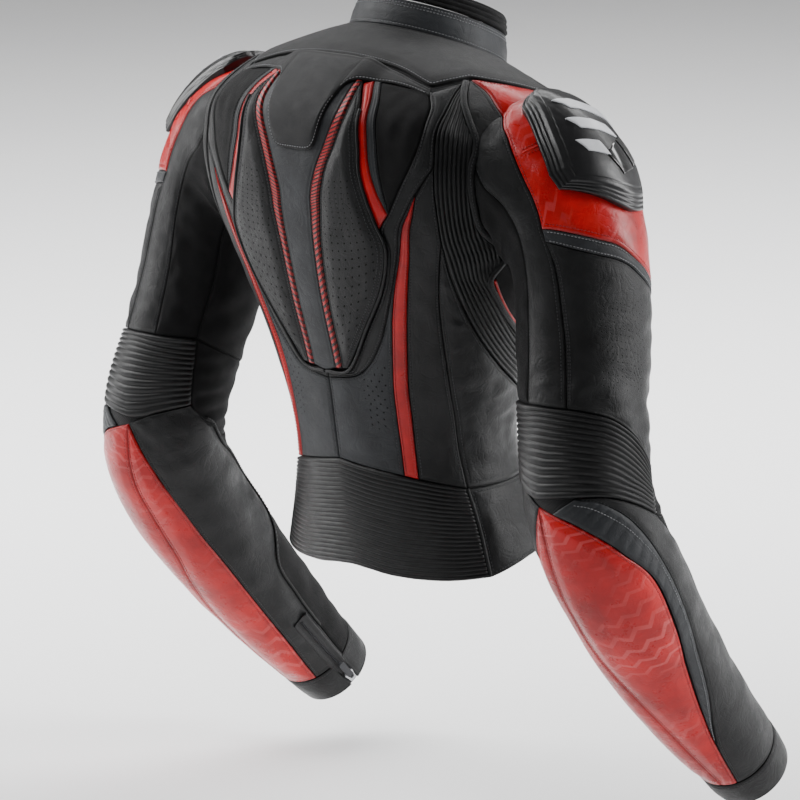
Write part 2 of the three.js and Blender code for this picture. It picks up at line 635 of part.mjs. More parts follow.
// ---- Elbow ----
const ribsBottomRear = [[160, 308, 'corner'], [130, 320], [116, 326], [101, 330, 'corner']];
const ribsBottomOuter = [[101, 330, 'corner'], [66, 332], [30, 337], [2, 350], [-24, 368, 'corner']];
addPair('elbow_ribs', patch({ chart: sleeve, from: [...ribsRearTop, ...ribsOuterTop.slice(1)],
  to: [...ribsBottomRear, ...ribsBottomOuter.slice(1)] }), blackLeather);
const elbowTop = [[146, 243], [183, 252.5], [220, 262], [257, 271.5], [294, 281, 'corner'],
  [328, 318, 'corner']];
const elbowBottom = [[160, 308], [190, 342], [225, 368], [262, 382], [300, 384], [336, 368, 'corner']];
addPair('elbow_inner', patch({ chart: sleeve, from: elbowTop, to: elbowBottom }), stretchCloth);

// ---- Forearm ----
const cuffStart = 712;
const leafTip = [99, 336, 'corner'];
const leafFront = [leafTip, [60, 354], [30, 378], [10, 412], [12, 470], [20, 520], [30, 580], [42, 645],
  [55, cuffStart, 'corner']];
const leafRear = [leafTip, [113, 356], [126, 378], [136, 412], [141, 470], [142, 520], [141, 580], [137, 645],
  [129, cuffStart, 'corner']];
addPair('forearm_leaf', patch({ chart: sleeve, from: leafFront, to: leafRear }), red);

const forearmFront = [[-24, 368, 'corner'], [-42, 396], [-58, 428], [-70, 462], [-76, 500], [-78, 550],
  [-78, 600], [-78, 655], [-78, cuffStart, 'corner']];
addPair('forearm_outer', patch({ chart: sleeve, from: forearmFront, to: leafFront,
  start: [...ribsBottomOuter].reverse().concat([leafTip]) }), blackLeather);
addPair('forearm_inner', patch({ chart: sleeve, from: leafRear,
  to: forearmFront.map(([degrees, along, kind]) => [degrees + 360, along, kind]),
  start: [leafTip, ...[...ribsBottomRear].reverse(), ...elbowBottom.slice(1)] }), stretchCloth);

// ---- Cuff, slit for its zip ----
const zipDegrees = 166;
const slitHalfDegrees = cuffZipHalf / cuffRadius * 180 / Math.PI;
const cuffEnd = draftSleeve;
const cuffBandLift = 0.8;
const cuffRing = (along) => Array.from({ length: 9 }, (_, i) => [
  mix(zipDegrees + slitHalfDegrees, zipDegrees + 360 - slitHalfDegrees, i / 8), along]);
addPair('cuff_band', patch({ chart: sleeve, from: cuffRing(cuffStart), to: cuffRing(cuffEnd),
  outside: cuffBandLift }), stretchCloth);

// ---- Front zip ----
const zipLevels = [16, -8, -30, -60, -92, -126, -160, -198, -240, -275, -309, -345, -380, -412, -450,
  hemFrontLevel];
const tapeEdge = [-zipTapeHalf, -zipChainHalf - 1, -zipChainHalf, zipChainHalf, zipChainHalf + 1, zipTapeHalf];
add('front_zip', patch({ chart: centreFront, from: zipLevels.map((level) => [-zipTapeHalf, level]),
  to: zipLevels.map((level) => [zipTapeHalf, level]),
  start: tapeEdge.map((x) => [x, zipLevels[0], 'corner']),
  end: tapeEdge.map((x) => [x, hemFrontLevel, 'corner']),
  gaps: { from: 0.3, to: 0.3 }, outside: (u) => zipChainLift * ease(10 * (0.35 - Math.abs(u - 0.5))) }), greyLeather);

// A zip slider: a waisted plate with a low bridge. Its nose points along +Y, and it
// stands on the XY plane.
function sliderSolid() {
  const half = sliderWidth / 2;
  const outline = new THREE.Shape();
  outline.moveTo(-half * 0.7, -sliderLength / 2);
  outline.lineTo(half * 0.7, -sliderLength / 2);
  outline.quadraticCurveTo(half * 0.75, 0, half, sliderLength / 2 - 2);
  outline.lineTo(half * 0.8, sliderLength / 2);
  outline.lineTo(-half * 0.8, sliderLength / 2);
  outline.lineTo(-half, sliderLength / 2 - 2);
  outline.quadraticCurveTo(-half * 0.75, 0, -half * 0.7, -sliderLength / 2);
  return new THREE.ExtrudeGeometry(outline, { depth: sliderThickness, bevelEnabled: false, curveSegments: 4 });
}

// The pull tag hangs along -Y from a pivot at the origin.
function pullSolid() {
  const half = pullWidth / 2;
  const outline = new THREE.Shape();
  outline.moveTo(-half * 0.5, pullTop);
  outline.lineTo(half * 0.5, pullTop);
  outline.lineTo(half, -half);
  outline.lineTo(half, -pullLength + half);
  outline.absarc(0, -pullLength + half, half, 0, -Math.PI, true);
  outline.lineTo(-half, -half);
  const eye = new THREE.Path();
  eye.absarc(0, -1.6, 1.2, 0, 2 * Math.PI, false);
  outline.holes.push(eye);
  return new THREE.ExtrudeGeometry(outline, { depth: pullThickness, bevelEnabled: false, curveSegments: 4 });
}

// A frame whose +Y is the given direction and whose +Z is near the given normal.
function frameAt(origin, upWay, normal) {
  const up = upWay.clone().normalize();
  const side = new THREE.Vector3().crossVectors(up, normal).normalize();
  const out = new THREE.Vector3().crossVectors(side, up);
  return new THREE.Matrix4().makeBasis(side, up, out).setPosition(origin);
}

function placed(geometry, matrix, lift = 0, shift = 0) {
  const clean = geometry.clone();
  clean.deleteAttribute('normal');
  clean.deleteAttribute('uv');
  clean.translate(0, shift, lift);
  clean.applyMatrix4(matrix);
  return mergeVertices(clean);
}

const sliderRest = zipTopLevel - 18;
const frontOut = new THREE.Vector3(0, 1, 0);
const frontRise = new THREE.Vector3(0, chestFrontDepth - waistFrontDepth, (zipTopLevel - waistLevel) * lengthGrade);
const zipOrigin = new THREE.Vector3(0, frontLean(sliderRest), sliderRest * lengthGrade);
const zipFrame = frameAt(zipOrigin, frontRise, frontOut);
const sliderLift = zipChainLift + sliderGap;
add('front_zip_slider', placed(sliderSolid(), zipFrame, sliderLift), brushedMetal);
const pullLift = sliderLift + sliderThickness + pullGap;
const pullPivot = zipOrigin.clone().addScaledVector(frontOut, pullLift);
const pullFrame = frameAt(pullPivot, new THREE.Vector3(0, 0, 1), frontOut);
add('front_zip_pull', placed(pullSolid(), pullFrame), greyLeather);

// ---- Cuff zips: the slider stands over the slit, and its pull lies up the sleeve ----
const cuffSliderAlong = 738;
const cuffAxes = sleeveAxes(cuffSliderAlong);
const cuffPoint = sleeve(zipDegrees, cuffSliderAlong);
const cuffWay = sleeve(zipDegrees, cuffStart - 40).sub(cuffPoint);
const cuffOut = cuffPoint.clone().sub(cuffAxes.centre);
const cuffFrame = frameAt(cuffPoint, cuffWay, cuffOut);
const cuffLift = cuffBandLift + 0.2;
addPair('cuff_slider', placed(sliderSolid(), cuffFrame, cuffLift), brushedMetal);
const turned = cuffFrame.clone().multiply(new THREE.Matrix4().makeRotationZ(Math.PI));
addPair('cuff_pull', placed(pullSolid(), turned, cuffLift + sliderThickness + pullGap), greyLeather);

export default jacket;
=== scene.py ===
"""Leather riding jacket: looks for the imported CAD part. Metres in Blender, millimetres in the charts."""
import math

import bpy
import numpy as np
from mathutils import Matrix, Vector


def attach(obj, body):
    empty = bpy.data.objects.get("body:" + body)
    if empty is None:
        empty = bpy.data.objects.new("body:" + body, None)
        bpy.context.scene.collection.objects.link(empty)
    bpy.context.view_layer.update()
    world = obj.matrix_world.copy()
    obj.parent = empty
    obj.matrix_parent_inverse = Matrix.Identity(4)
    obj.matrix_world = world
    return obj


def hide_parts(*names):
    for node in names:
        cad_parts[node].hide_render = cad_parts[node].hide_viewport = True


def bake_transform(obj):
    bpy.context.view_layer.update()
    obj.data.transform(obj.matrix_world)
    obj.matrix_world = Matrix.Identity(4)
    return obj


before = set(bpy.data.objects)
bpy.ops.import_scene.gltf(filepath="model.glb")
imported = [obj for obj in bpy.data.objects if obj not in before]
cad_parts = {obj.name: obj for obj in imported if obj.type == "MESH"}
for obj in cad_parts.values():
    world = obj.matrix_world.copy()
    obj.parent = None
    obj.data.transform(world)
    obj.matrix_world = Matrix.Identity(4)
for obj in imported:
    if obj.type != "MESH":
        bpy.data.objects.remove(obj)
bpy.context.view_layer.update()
MM = 0.001
TURN = 6.283  # a full turn in radians, for waves and weaves

# ---------------------------------------------------------------- sizes shared with the CAD
BACK_LENGTH, NECK_HALF, NECK_BACK, NECK_FRONT = 540, 80, 78, 76
COLLAR_HEIGHT, COLLAR_TOP_RADIUS = 44, 69
CHEST_HALF, CHEST_BACK, CHEST_FRONT = 206, 187, 90
WAIST_HALF, WAIST_BACK, WAIST_FRONT = 118, 129, 66
HEM_HALF, HEM_BACK, HEM_FRONT = 160, 111, 108
ARMHOLE_X, ARMHOLE_GAP = 185, 0.5
UPPER_ARM, CUFF_RADIUS = 62, 40
WAIST_LEVEL, ZIP_TOP, HEM_FRONT_LEVEL, CUFF_START, CUFF_END = -408, -66, -490, 712, 752
HUMP = 3.0
HALF_GIRTH = [[-530, 432], [-450, 366], [-408, 342], [-309, 397], [-241, 456], [-198, 497],
              [-148, 545], [-91, 566], [-46, 548], [-8, 446], [20, 255]]


def mix(a, b, t):
    return a + (b - a) * t


def ease(t):
    t = np.clip(t, 0, 1)
    return t * t * (3 - 2 * t)


def unit(vectors):
    return vectors / np.maximum(np.linalg.norm(vectors, axis=-1, keepdims=True), 1e-9)


def arc_length(points):
    """Length of a line up to each of its points."""
    return np.concatenate([[0], np.cumsum(np.linalg.norm(np.diff(points, axis=0), axis=1))])


def track(rows, x):
    """Cubic interpolation of rows (x, value, value, ...), for an array of x."""
    rows = np.asarray(rows, float)
    x = np.asarray(x, float)
    knots, values = rows[:, 0], rows[:, 1:]
    span = np.diff(knots)
    rise = np.diff(values, axis=0) / span[:, None]
    slope = np.empty_like(values)
    slope[0], slope[-1] = rise[0], rise[-1]
    slope[1:-1] = (rise[1:] * span[:-1, None] + rise[:-1] * span[1:, None]) / (span[1:] + span[:-1])[:, None]
    at = np.clip(x, knots[0], knots[-1])
    i = np.clip(np.searchsorted(knots, at, side="right") - 1, 0, len(knots) - 2)
    h = span[i][..., None]
    t = ((at - knots[i]) / span[i])[..., None]
    return ((2 * t**3 - 3 * t**2 + 1) * values[i] + (t**3 - 2 * t**2 + t) * h * slope[i]
            + (3 * t**2 - 2 * t**3) * values[i + 1] + (t**3 - t**2) * h * slope[i + 1])


# ---------------------------------------------------------------- torso surface
def front_lean(z):
    return mix(CHEST_FRONT, WAIST_FRONT, (ZIP_TOP - z) / (ZIP_TOP - WAIST_LEVEL))


TORSO_SHAPE = [[-530, 1, 1, 0, 2.1], [-450, 0.45, 0.29, 0, 2.1], [-408, 1, 1, 0, 2.1],
               [-309, 0.69, 0.75, 0, 2.1], [-241, 0.345, 0.49, 0, 2.2], [-198, 0.17, 0.295, 8, 2.3],
               [-148, 0.02, 0.08, 20, 2.4], [-91, 1, 1, 36, 2.5], [-46, 0.91, 0.95, 48, 2.4],
               [-28, 0.75, 0.86, 52, 2.3], [-8, 0.495, 0.66, 58, 2.2], [8, 0.23, 0.33, 60, 2.1],
               [20, 0, 0, 60, 2]]
WIDEST_Y = [[-530, -5], [-408, -30], [-241, -50], [-148, -60], [-46, -45], [20, -5]]


def station(level, back_share, width_share, tilt, fullness):
    back = mix(NECK_BACK, CHEST_BACK, back_share)
    width = mix(NECK_HALF, CHEST_HALF, width_share)
    front = front_lean(level - tilt)
    if level < WAIST_LEVEL:
        back = mix(WAIST_BACK, HEM_BACK, back_share)
        width = mix(WAIST_HALF, HEM_HALF, width_share)
        front = HEM_FRONT if level == -530 else mix(WAIST_FRONT, HEM_FRONT, 0.33)
    elif level < -91:
        back = mix(CHEST_BACK, WAIST_BACK, back_share)
        width = mix(CHEST_HALF, WAIST_HALF, width_share)
    if level == 20:
        front = NECK_FRONT
    if level == 8:
        front = mix(NECK_FRONT, CHEST_FRONT, 0.6)
    return [level, -back, front, width, tilt, fullness]


STATIONS = [station(*row) for row in TORSO_SHAPE]


def torso_angle(angle, level):
    back, front, width, tilt, fullness = np.moveaxis(track(STATIONS, level), -1, 0)
    middle = track(WIDEST_Y, level)[..., 0]
    power = 2 / fullness
    x = width * np.abs(np.sin(angle)) ** power
    reach = np.abs(np.cos(angle)) ** power
    y = np.where(np.cos(angle) > 0, mix(middle, back, reach), mix(middle, front, reach))
    z = level - tilt * (y - back) / (front - back)
    return np.stack([x, y, z], -1)


LEVELS = np.linspace(20, -530, 551)
SHARES = np.linspace(0, 1, 401)
_ang = np.pi * np.arange(161) / 160
_rings = torso_angle(_ang[None, :], np.repeat(LEVELS[:, None], 161, 1))
_girth = np.concatenate([np.zeros((551, 1)),
                         np.cumsum(np.linalg.norm(np.diff(_rings, axis=1), axis=2), 1)], 1)
TORSO_TABLE = np.stack([np.stack([np.interp(SHARES, g / g[-1], r[:, c]) for c in range(3)], -1)
                        for g, r in zip(_girth, _rings)])
HALF_REAL = _girth[:, -1]


def torso_share(share, level):
    li = np.clip(20 - np.asarray(level, float), 0, 550)
    si = np.clip(share, 0, 1) * 400
    i, j = np.minimum(li.astype(int), 549), np.minimum(si.astype(int), 399)
    f, g = (li - i)[..., None], (si - j)[..., None]
    t = TORSO_TABLE
    return (t[i, j] * (1 - f) * (1 - g) + t[i + 1, j] * f * (1 - g)
            + t[i, j + 1] * (1 - f) * g + t[i + 1, j + 1] * f * g)


def draft_girth(level):
    return track(HALF_GIRTH, level)[..., 0]


def torso(across, level):
    point = torso_share(np.abs(across) / draft_girth(level), level)
    point[..., 0] *= np.where(across < 0, -1, 1)
    return point


def half_real(level):
    return np.interp(-np.asarray(level, float), -LEVELS, HALF_REAL)


def centre_front(x, level):
    point = torso_share(1 - np.abs(x) / half_real(level), level)
    point[..., 0] = np.abs(point[..., 0]) * np.where(x < 0, -1, 1)
    return point


# A core gives the points inside a chart's surface from which its normals look away.
torso_core = lambda p, a, b: np.stack([0 * p[..., 0], 0 * p[..., 0] - 45, p[..., 2] - 60], -1)


def armhole_across(level, side):
    ring = torso_angle(_ang, np.full(161, float(level)))
    girth = arc_length(ring)
    limit = ARMHOLE_X - ARMHOLE_GAP
    i = int(np.argmax(ring[:, 0]))
    while ring[i, 0] > limit:
        i += side
    inner, outer = ring[i, 0], ring[i - side, 0]
    share = min(max((limit - inner) / (outer - inner), 0), 1)
    return mix(girth[i], girth[i - side], share) * float(draft_girth(level)) / girth[-1]


def behind_arm(level):
    return [armhole_across(level, -1), level]


def before_arm(level):
    return [armhole_across(level, 1), level]


def widest(level):
    return torso_angle(_ang, np.full(161, float(level)))[:, 0].max()


def armhole_limit(beyond):
    within = -100.0
    for _ in range(20):
        middle = (within + beyond) / 2
        if widest(middle) > ARMHOLE_X - ARMHOLE_GAP:
            within = middle
        else:
            beyond = middle
    return within


def armhole_loop():
    found = []
    for level in range(0, -260, -2):
        if widest(level) > ARMHOLE_X:
            for side in (-1, 1):
                p = torso(np.array(armhole_across(level, side)), np.array(float(level)))
                found.append(p)
    found = np.array(found)
    cy = (found[:, 1].min() + found[:, 1].max()) / 2
    cz = (found[:, 2].min() + found[:, 2].max()) / 2
    angle = np.degrees(np.arctan2(cy - found[:, 1], found[:, 2] - cz))
    order = np.argsort(angle)
    angle, yz = angle[order], found[order][:, 1:]
    angle = np.concatenate([[angle[-1] - 360], angle, [angle[0] + 360]])
    return angle, np.concatenate([yz[-1:], yz, yz[:1]])


ARM_ANGLES, ARM_YZ = armhole_loop()
TOP_LEVEL = armhole_limit(0.0) - 0.2
LOW_LEVEL = armhole_limit(-300.0) + 0.2


def armhole_point(degrees):
    wrapped = (np.asarray(degrees, float) + 180) % 360 - 180
    y, z = (np.interp(wrapped, ARM_ANGLES, ARM_YZ[:, c]) for c in (0, 1))
    return np.stack([np.full_like(y, ARMHOLE_X), y, z], -1)


# ---------------------------------------------------------------- sleeve surface
SLEEVE_SHAPE = np.array([
    [185, -40, -112, 0, 1.4, 1.26], [210, -37, -119, 0, 1.35, 1.2], [236, -43, -150, 0, 1.22, 1.12],
    [253, -53, -203, 0, 1.06, 1.08], [263, -61, -262, 0, 1.04, 1.05], [276, -75, -330, 0, 1, 1.02],
    [293, -86, -398, 0, 1, 1.02], [302, -79, -445, 0, 1, 1.02], [307, -48, -500, 0, 0.99, 1],
    [302, -2, -559, 0.15, 0.99, 1.01], [297, 75, -644, 0.55, 1, 1.03], [296, 125, -693, 0.8, 1, 1.02],
    [293, 161, -727, 1, 1, 1.02]])
_run = arc_length(SLEEVE_SHAPE[:, :3])
_base = mix(UPPER_ARM, CUFF_RADIUS, SLEEVE_SHAPE[:, 3])
SLEEVE_ROWS = np.column_stack([_run * CUFF_END / _run[-1], SLEEVE_SHAPE[:, :3],
                               _base * SLEEVE_SHAPE[:, 4], _base * SLEEVE_SHAPE[:, 5]])


def sleeve_axes(along):
    rows = track(SLEEVE_ROWS, along)
    tangent = track(SLEEVE_ROWS, along + 0.5)[..., :3] - track(SLEEVE_ROWS, along - 0.5)[..., :3]
    tangent /= np.linalg.norm(tangent, axis=-1, keepdims=True)
    lateral = np.array([1.0, 0, 0]) - tangent[..., :1] * tangent
    lateral /= np.linalg.norm(lateral, axis=-1, keepdims=True)
    return rows, lateral, np.cross(tangent, lateral)


OUTER_BLEND, ARMPIT_BLEND = 130, 175
OUTER_START, ARMPIT_START = np.array([0.75, 0, -0.1]), np.array([0.12, -0.03, -0.43])


def sleeve(degrees, along):
    degrees, along = np.broadcast_arrays(np.asarray(degrees, float), np.asarray(along, float))
    rows, lateral, fore = sleeve_axes(along)
    angle = np.radians(degrees)[..., None]
    tube = rows[..., :3] + lateral * np.cos(angle) * rows[..., 3:4] + fore * np.sin(angle) * rows[..., 4:5]
    outer_share = (1 + np.cos(angle)) / 2
    way = mix(ARMPIT_START, OUTER_START, outer_share)
    start = armhole_point(degrees) + way * along[..., None]
    return mix(start, tube, ease(along[..., None] / mix(ARMPIT_BLEND, OUTER_BLEND, outer_share)))


sleeve_core = lambda p, a, b: sleeve_axes(b)[0][..., :3]


# ---------------------------------------------------------------- collar surface
def collar(degrees, share):
    degrees, share = np.broadcast_arrays(np.asarray(degrees, float), np.asarray(share, float))
    angle = np.radians(np.abs(degrees))
    base = torso_angle(angle, np.full(angle.shape, 20.0))
    top = np.stack([COLLAR_TOP_RADIUS * np.sin(angle), 8 - COLLAR_TOP_RADIUS * np.cos(angle),
                    mix(12, 20 + COLLAR_HEIGHT, (1 + np.cos(angle)) / 2)], -1)
    point = mix(base, top, share[..., None])
    point[..., 0] *= np.where(degrees < 0, -1, 1)
    return point


collar_core = lambda p, a, b: np.stack([0 * p[..., 0], 0 * p[..., 0] + 8, p[..., 2]], -1)

CHARTS = {"torso": (torso, torso_core, 1.0), "front": (centre_front, torso_core, 1.0),
          "sleeve": (sleeve, sleeve_core, 1.0), "collar": (collar, collar_core, 0.02)}


# ---------------------------------------------------------------- patches
def edge(points):
    """An edge through chart points, smooth except where a point ends in "corner"."""
    last = len(points) - 1
    xy = np.array([[p[0], p[1]] for p in points], float)
    free = np.array([0 < k < last and len(points[k]) < 3 for k in range(last + 1)])
    a, b = xy[:-1], xy[1:]
    before = np.where(free[:-1, None], np.roll(xy, 1, 0)[:-1], 2 * a - b)
    after = np.where(free[1:, None], np.roll(xy, -2, 0)[:-1], 2 * b - a)

    def at(t):
        place = np.clip(t, 0, 1) * last
        i = np.minimum(place.astype(int), last - 1)
        f = (place - i)[..., None]
        p, q, r, s = before[i], a[i], b[i], after[i]
        return 0.5 * (2 * q + (r - p) * f + (2 * p - 5 * q + 4 * r - s) * f**2
                      + (3 * q - p - 3 * r + s) * f**3)
    return at


OFFSETS = np.array([0, 0.7, 1.5, 2.4, 3.4, 4.6, 6.6])
STITCH_LINE, OUTER_LINE = 4, 6
STITCH_LIFT = 0.05


def lines(length, cells):
    """Shares of a length: close lines near both ends, and even ones between, per column."""
    offs = OFFSETS[:, None] * np.minimum(1, length / (3.4 * OFFSETS[-1]))[None, :]
    rest = length[None, :] - 2 * offs[-1:]
    middle = offs[-1:] + rest * (np.arange(1, cells) / cells)[:, None]
    return np.concatenate([offs, middle, (length[None, :] - offs)[::-1]]) / length[None, :]


NORMAL_STEP = 0.8


def chart_points(chart_name, a, b):
    """Points at chart places, and normals that look away from the body."""
    chart, core, step = CHARTS[chart_name]
    p = chart(a, b)
    across = chart(a + NORMAL_STEP, b) - chart(a - NORMAL_STEP, b)
    along = chart(a, b + NORMAL_STEP * step) - chart(a, b - NORMAL_STEP * step)
    n = unit(np.cross(along, across))
    facing = (n * (p - core(p, a, b))).sum(-1, keepdims=True)
    return p, np.where(facing < 0, -n, n)


class Grid:
    """What a height function sees: shares, distances from the edges in mm, chart places and points."""


def coons(chart_name, frm, to, start=None, end=None, cell=(3.4, 3.4), gap=(0.35, 0.35, 0.35, 0.35),
          even=None):
    """The dense grid of a patch. gap is (from, to, start, end). even=(rows, columns) asks for even cells."""
    chart = CHARTS[chart_name][0]
    e0, e1 = edge(frm), edge(to)
    ends = (edge(start) if start else None, edge(end) if end else None)

    def straight(u, t):
        return mix(e0(t), e1(t), u[..., None])

    def place(u, t):
        p = straight(u, t)
        zero, one = np.zeros_like(t), np.ones_like(t)
        if ends[0]:
            p = p + (ends[0](u) - straight(u, zero)) * (1 - t)[..., None]
        if ends[1]:
            p = p + (ends[1](u) - straight(u, one)) * t[..., None]
        return p

    def point(u, t):
        p = place(u, t)
        return chart(p[..., 0], p[..., 1])

    probe, run = np.linspace(0, 1, 33), np.linspace(0, 1, 25)
    fixed, run = np.broadcast_arrays(probe[None, :], run[:, None])
    long_t, long_u = (np.maximum(np.linalg.norm(np.diff(p, axis=0), axis=-1).sum(0), 2.0)
                      for p in (point(fixed, run), point(run, fixed)))
    if even:
        rows, cols = even
        share_t = np.repeat(np.linspace(0, 1, rows + 1)[:, None], cols + 1, 1)
        share_u = np.repeat(np.linspace(0, 1, cols + 1)[None, :], rows + 1, 0)
    else:
        rows = max(2, int(math.ceil(long_t.max() / cell[1])))
        cols = max(2, int(math.ceil(long_u.max() / cell[0])))
        nominal_u = lines(np.array([long_u.max()]), cols)[:, 0]
        share_t = lines(np.interp(nominal_u, probe, long_t), rows)
        nominal_t = lines(np.array([long_t.max()]), rows)[:, 0]
        width_rows = np.interp(share_t, probe, long_u)
        share_u = lines(np.interp(nominal_t, probe, long_u), cols).T
    lt = np.interp(share_u, probe, long_t)
    lu = np.interp(share_t, probe, long_u)
    g0, g1, g2, g3 = gap
    t = mix(np.minimum(g2 / lt, 0.3), 1 - np.minimum(g3 / lt, 0.3), share_t)
    u = mix(np.minimum(g0 / lu, 0.3), 1 - np.minimum(g1 / lu, 0.3), share_u)
    g = Grid()
    g.u, g.t = share_u, share_t
    g.lu, g.lt = lu, lt
    g.eu0, g.eu1, g.et0, g.et1 = u * lu, (1 - u) * lu, t * lt, (1 - t) * lt
    g.eu = np.minimum(g.eu0, g.eu1)
    g.et = np.minimum(g.et0, g.et1)
    g.e = np.minimum(g.eu, g.et)
    ab = place(u, t)
    g.a, g.b = ab[..., 0], ab[..., 1]
    g.p, g.n = chart_points(chart_name, g.a, g.b)
    return g


_rng = np.random.RandomState(7)
_waves = [(_rng.normal(size=3), _rng.uniform(0, 6.28)) for _ in range(24)]


def noise(p, size):
    """A soft deterministic ripple of about -1..1 with the given wavelength in mm."""
    total = 0
    for k, (d, phase) in enumerate(_waves):
        total = total + np.sin((p @ (d / np.linalg.norm(d))) * TURN / (size * (0.6 + 0.05 * k)) + phase)
    return total / 7.0


def seam(e, depth=1.3, width=2.6):
    """A turned edge that rolls down into its seam."""
    return -depth * (1 - ease(e / width)) ** 1.5


def dent(e, at, width, depth):
    """A round groove at a distance from the edge."""
    return -depth * np.exp(-((e - at) / width) ** 2)


def topstitched(g, depth=1.3, puff=0.5, groove=0.45):
    """A turned edge, a groove for the stitches, and padding inside it."""
    return seam(g.e, depth) + dent(g.e, 3.4, 0.9, groove) + puff * ease((g.e - 3.4) / 14)


def creases(g, tall, size, away, squash=(1, 1, 1)):
    """Soft ripples of the given wavelength, which fade out towards the edges."""
    return tall * noise(g.p * np.array(squash), size) * ease(g.e / away)


# ---------------------------------------------------------------- materials
def new_material(name):
    material = bpy.data.materials.new(name)
    material.use_nodes = True
    tree = material.node_tree
    tree.nodes.clear()
    out = tree.nodes.new("ShaderNodeOutputMaterial")
    bsdf = tree.nodes.new("ShaderNodeBsdfPrincipled")
    tree.links.new(bsdf.outputs[0], out.inputs[0])
    return material, tree, bsdf


def shade(colour, factor, lift=0.0):
    """A darker or lighter colour."""
    return tuple(min(1, c * factor + lift) for c in colour)


class Shader:
    """Short ways to add nodes to a material."""

    def __init__(self, tree):
        self.tree = tree
        self.coord = tree.nodes.new("ShaderNodeTexCoord")

    def link(self, value, socket):
        if hasattr(value, "is_output"):
            self.tree.links.new(value, socket)
        else:
            socket.default_value = value

    def math(self, operation, a, b=0.0, clamp=False):
        node = self.tree.nodes.new("ShaderNodeMath")
        node.operation = operation
        node.use_clamp = clamp
        for value, socket in zip((a, b), node.inputs):
            self.link(value, socket)
        return node.outputs[0]

    def noise(self, scale, detail=3.0, rough=0.55, distortion=0.0, stretch=None):
        node = self.tree.nodes.new("ShaderNodeTexNoise")
        vector = self.coord.outputs["Object"]
        if stretch:
            mapping = self.tree.nodes.new("ShaderNodeMapping")
            mapping.inputs["Scale"].default_value = stretch
            self.tree.links.new(vector, mapping.inputs[0])
            vector = mapping.outputs[0]
        self.tree.links.new(vector, node.inputs["Vector"])
        node.inputs["Scale"].default_value = scale
        node.inputs["Detail"].default_value = detail
        node.inputs["Roughness"].default_value = rough
        node.inputs["Distortion"].default_value = distortion
        return node.outputs[0]

    def cells(self, scale):
        node = self.tree.nodes.new("ShaderNodeTexVoronoi")
        node.feature = "DISTANCE_TO_EDGE"
        self.tree.links.new(self.coord.outputs["Object"], node.inputs["Vector"])
        node.inputs["Scale"].default_value = scale
        return node.outputs["Distance"]

    def attribute(self, name):
        node = self.tree.nodes.new("ShaderNodeAttribute")
        node.attribute_name = name
        return node.outputs["Fac"]

    def uv(self):
        split = self.tree.nodes.new("ShaderNodeSeparateXYZ")
        self.tree.links.new(self.coord.outputs["UV"], split.inputs[0])
        return split.outputs[0], split.outputs[1]

    def ramp(self, value, low, high, a=0.0, b=1.0):
        node = self.tree.nodes.new("ShaderNodeMapRange")
        node.clamp = True
        self.link(value, node.inputs[0])
        for k, v in enumerate((low, high, a, b)):
            node.inputs[k + 1].default_value = v
        return node.outputs[0]

    def colours(self, fac, a, b):
        node = self.tree.nodes.new("ShaderNodeMix")
        node.data_type = "RGBA"
        self.link(fac, node.inputs["Factor"])
        for value, key in ((a, 6), (b, 7)):
            if isinstance(value, tuple):
                node.inputs[key].default_value = (*value, 1)
            else:
                self.tree.links.new(value, node.inputs[key])
        return node.outputs[2]

    def bump(self, height, strength, distance, normal=None):
        node = self.tree.nodes.new("ShaderNodeBump")
        node.inputs["Strength"].default_value = strength
        node.inputs["Distance"].default_value = distance
        self.link(height, node.inputs["Height"])
        if normal is not None:
            self.tree.links.new(normal, node.inputs["Normal"])
        return node.outputs[0]

    def dots(self, pitch, radius):
        """1 inside round holes on a square grid of the UV map, in metres."""
        u, v = self.uv()
        a, b = (self.math("SUBTRACT", self.math("FRACT", self.math("DIVIDE", w, pitch)), 0.5) for w in (u, v))
        far = self.math("SQRT", self.math("ADD", self.math("MULTIPLY", a, a), self.math("MULTIPLY", b, b)))
        return self.ramp(far, (radius + 0.00015) / pitch, (radius - 0.00015) / pitch)


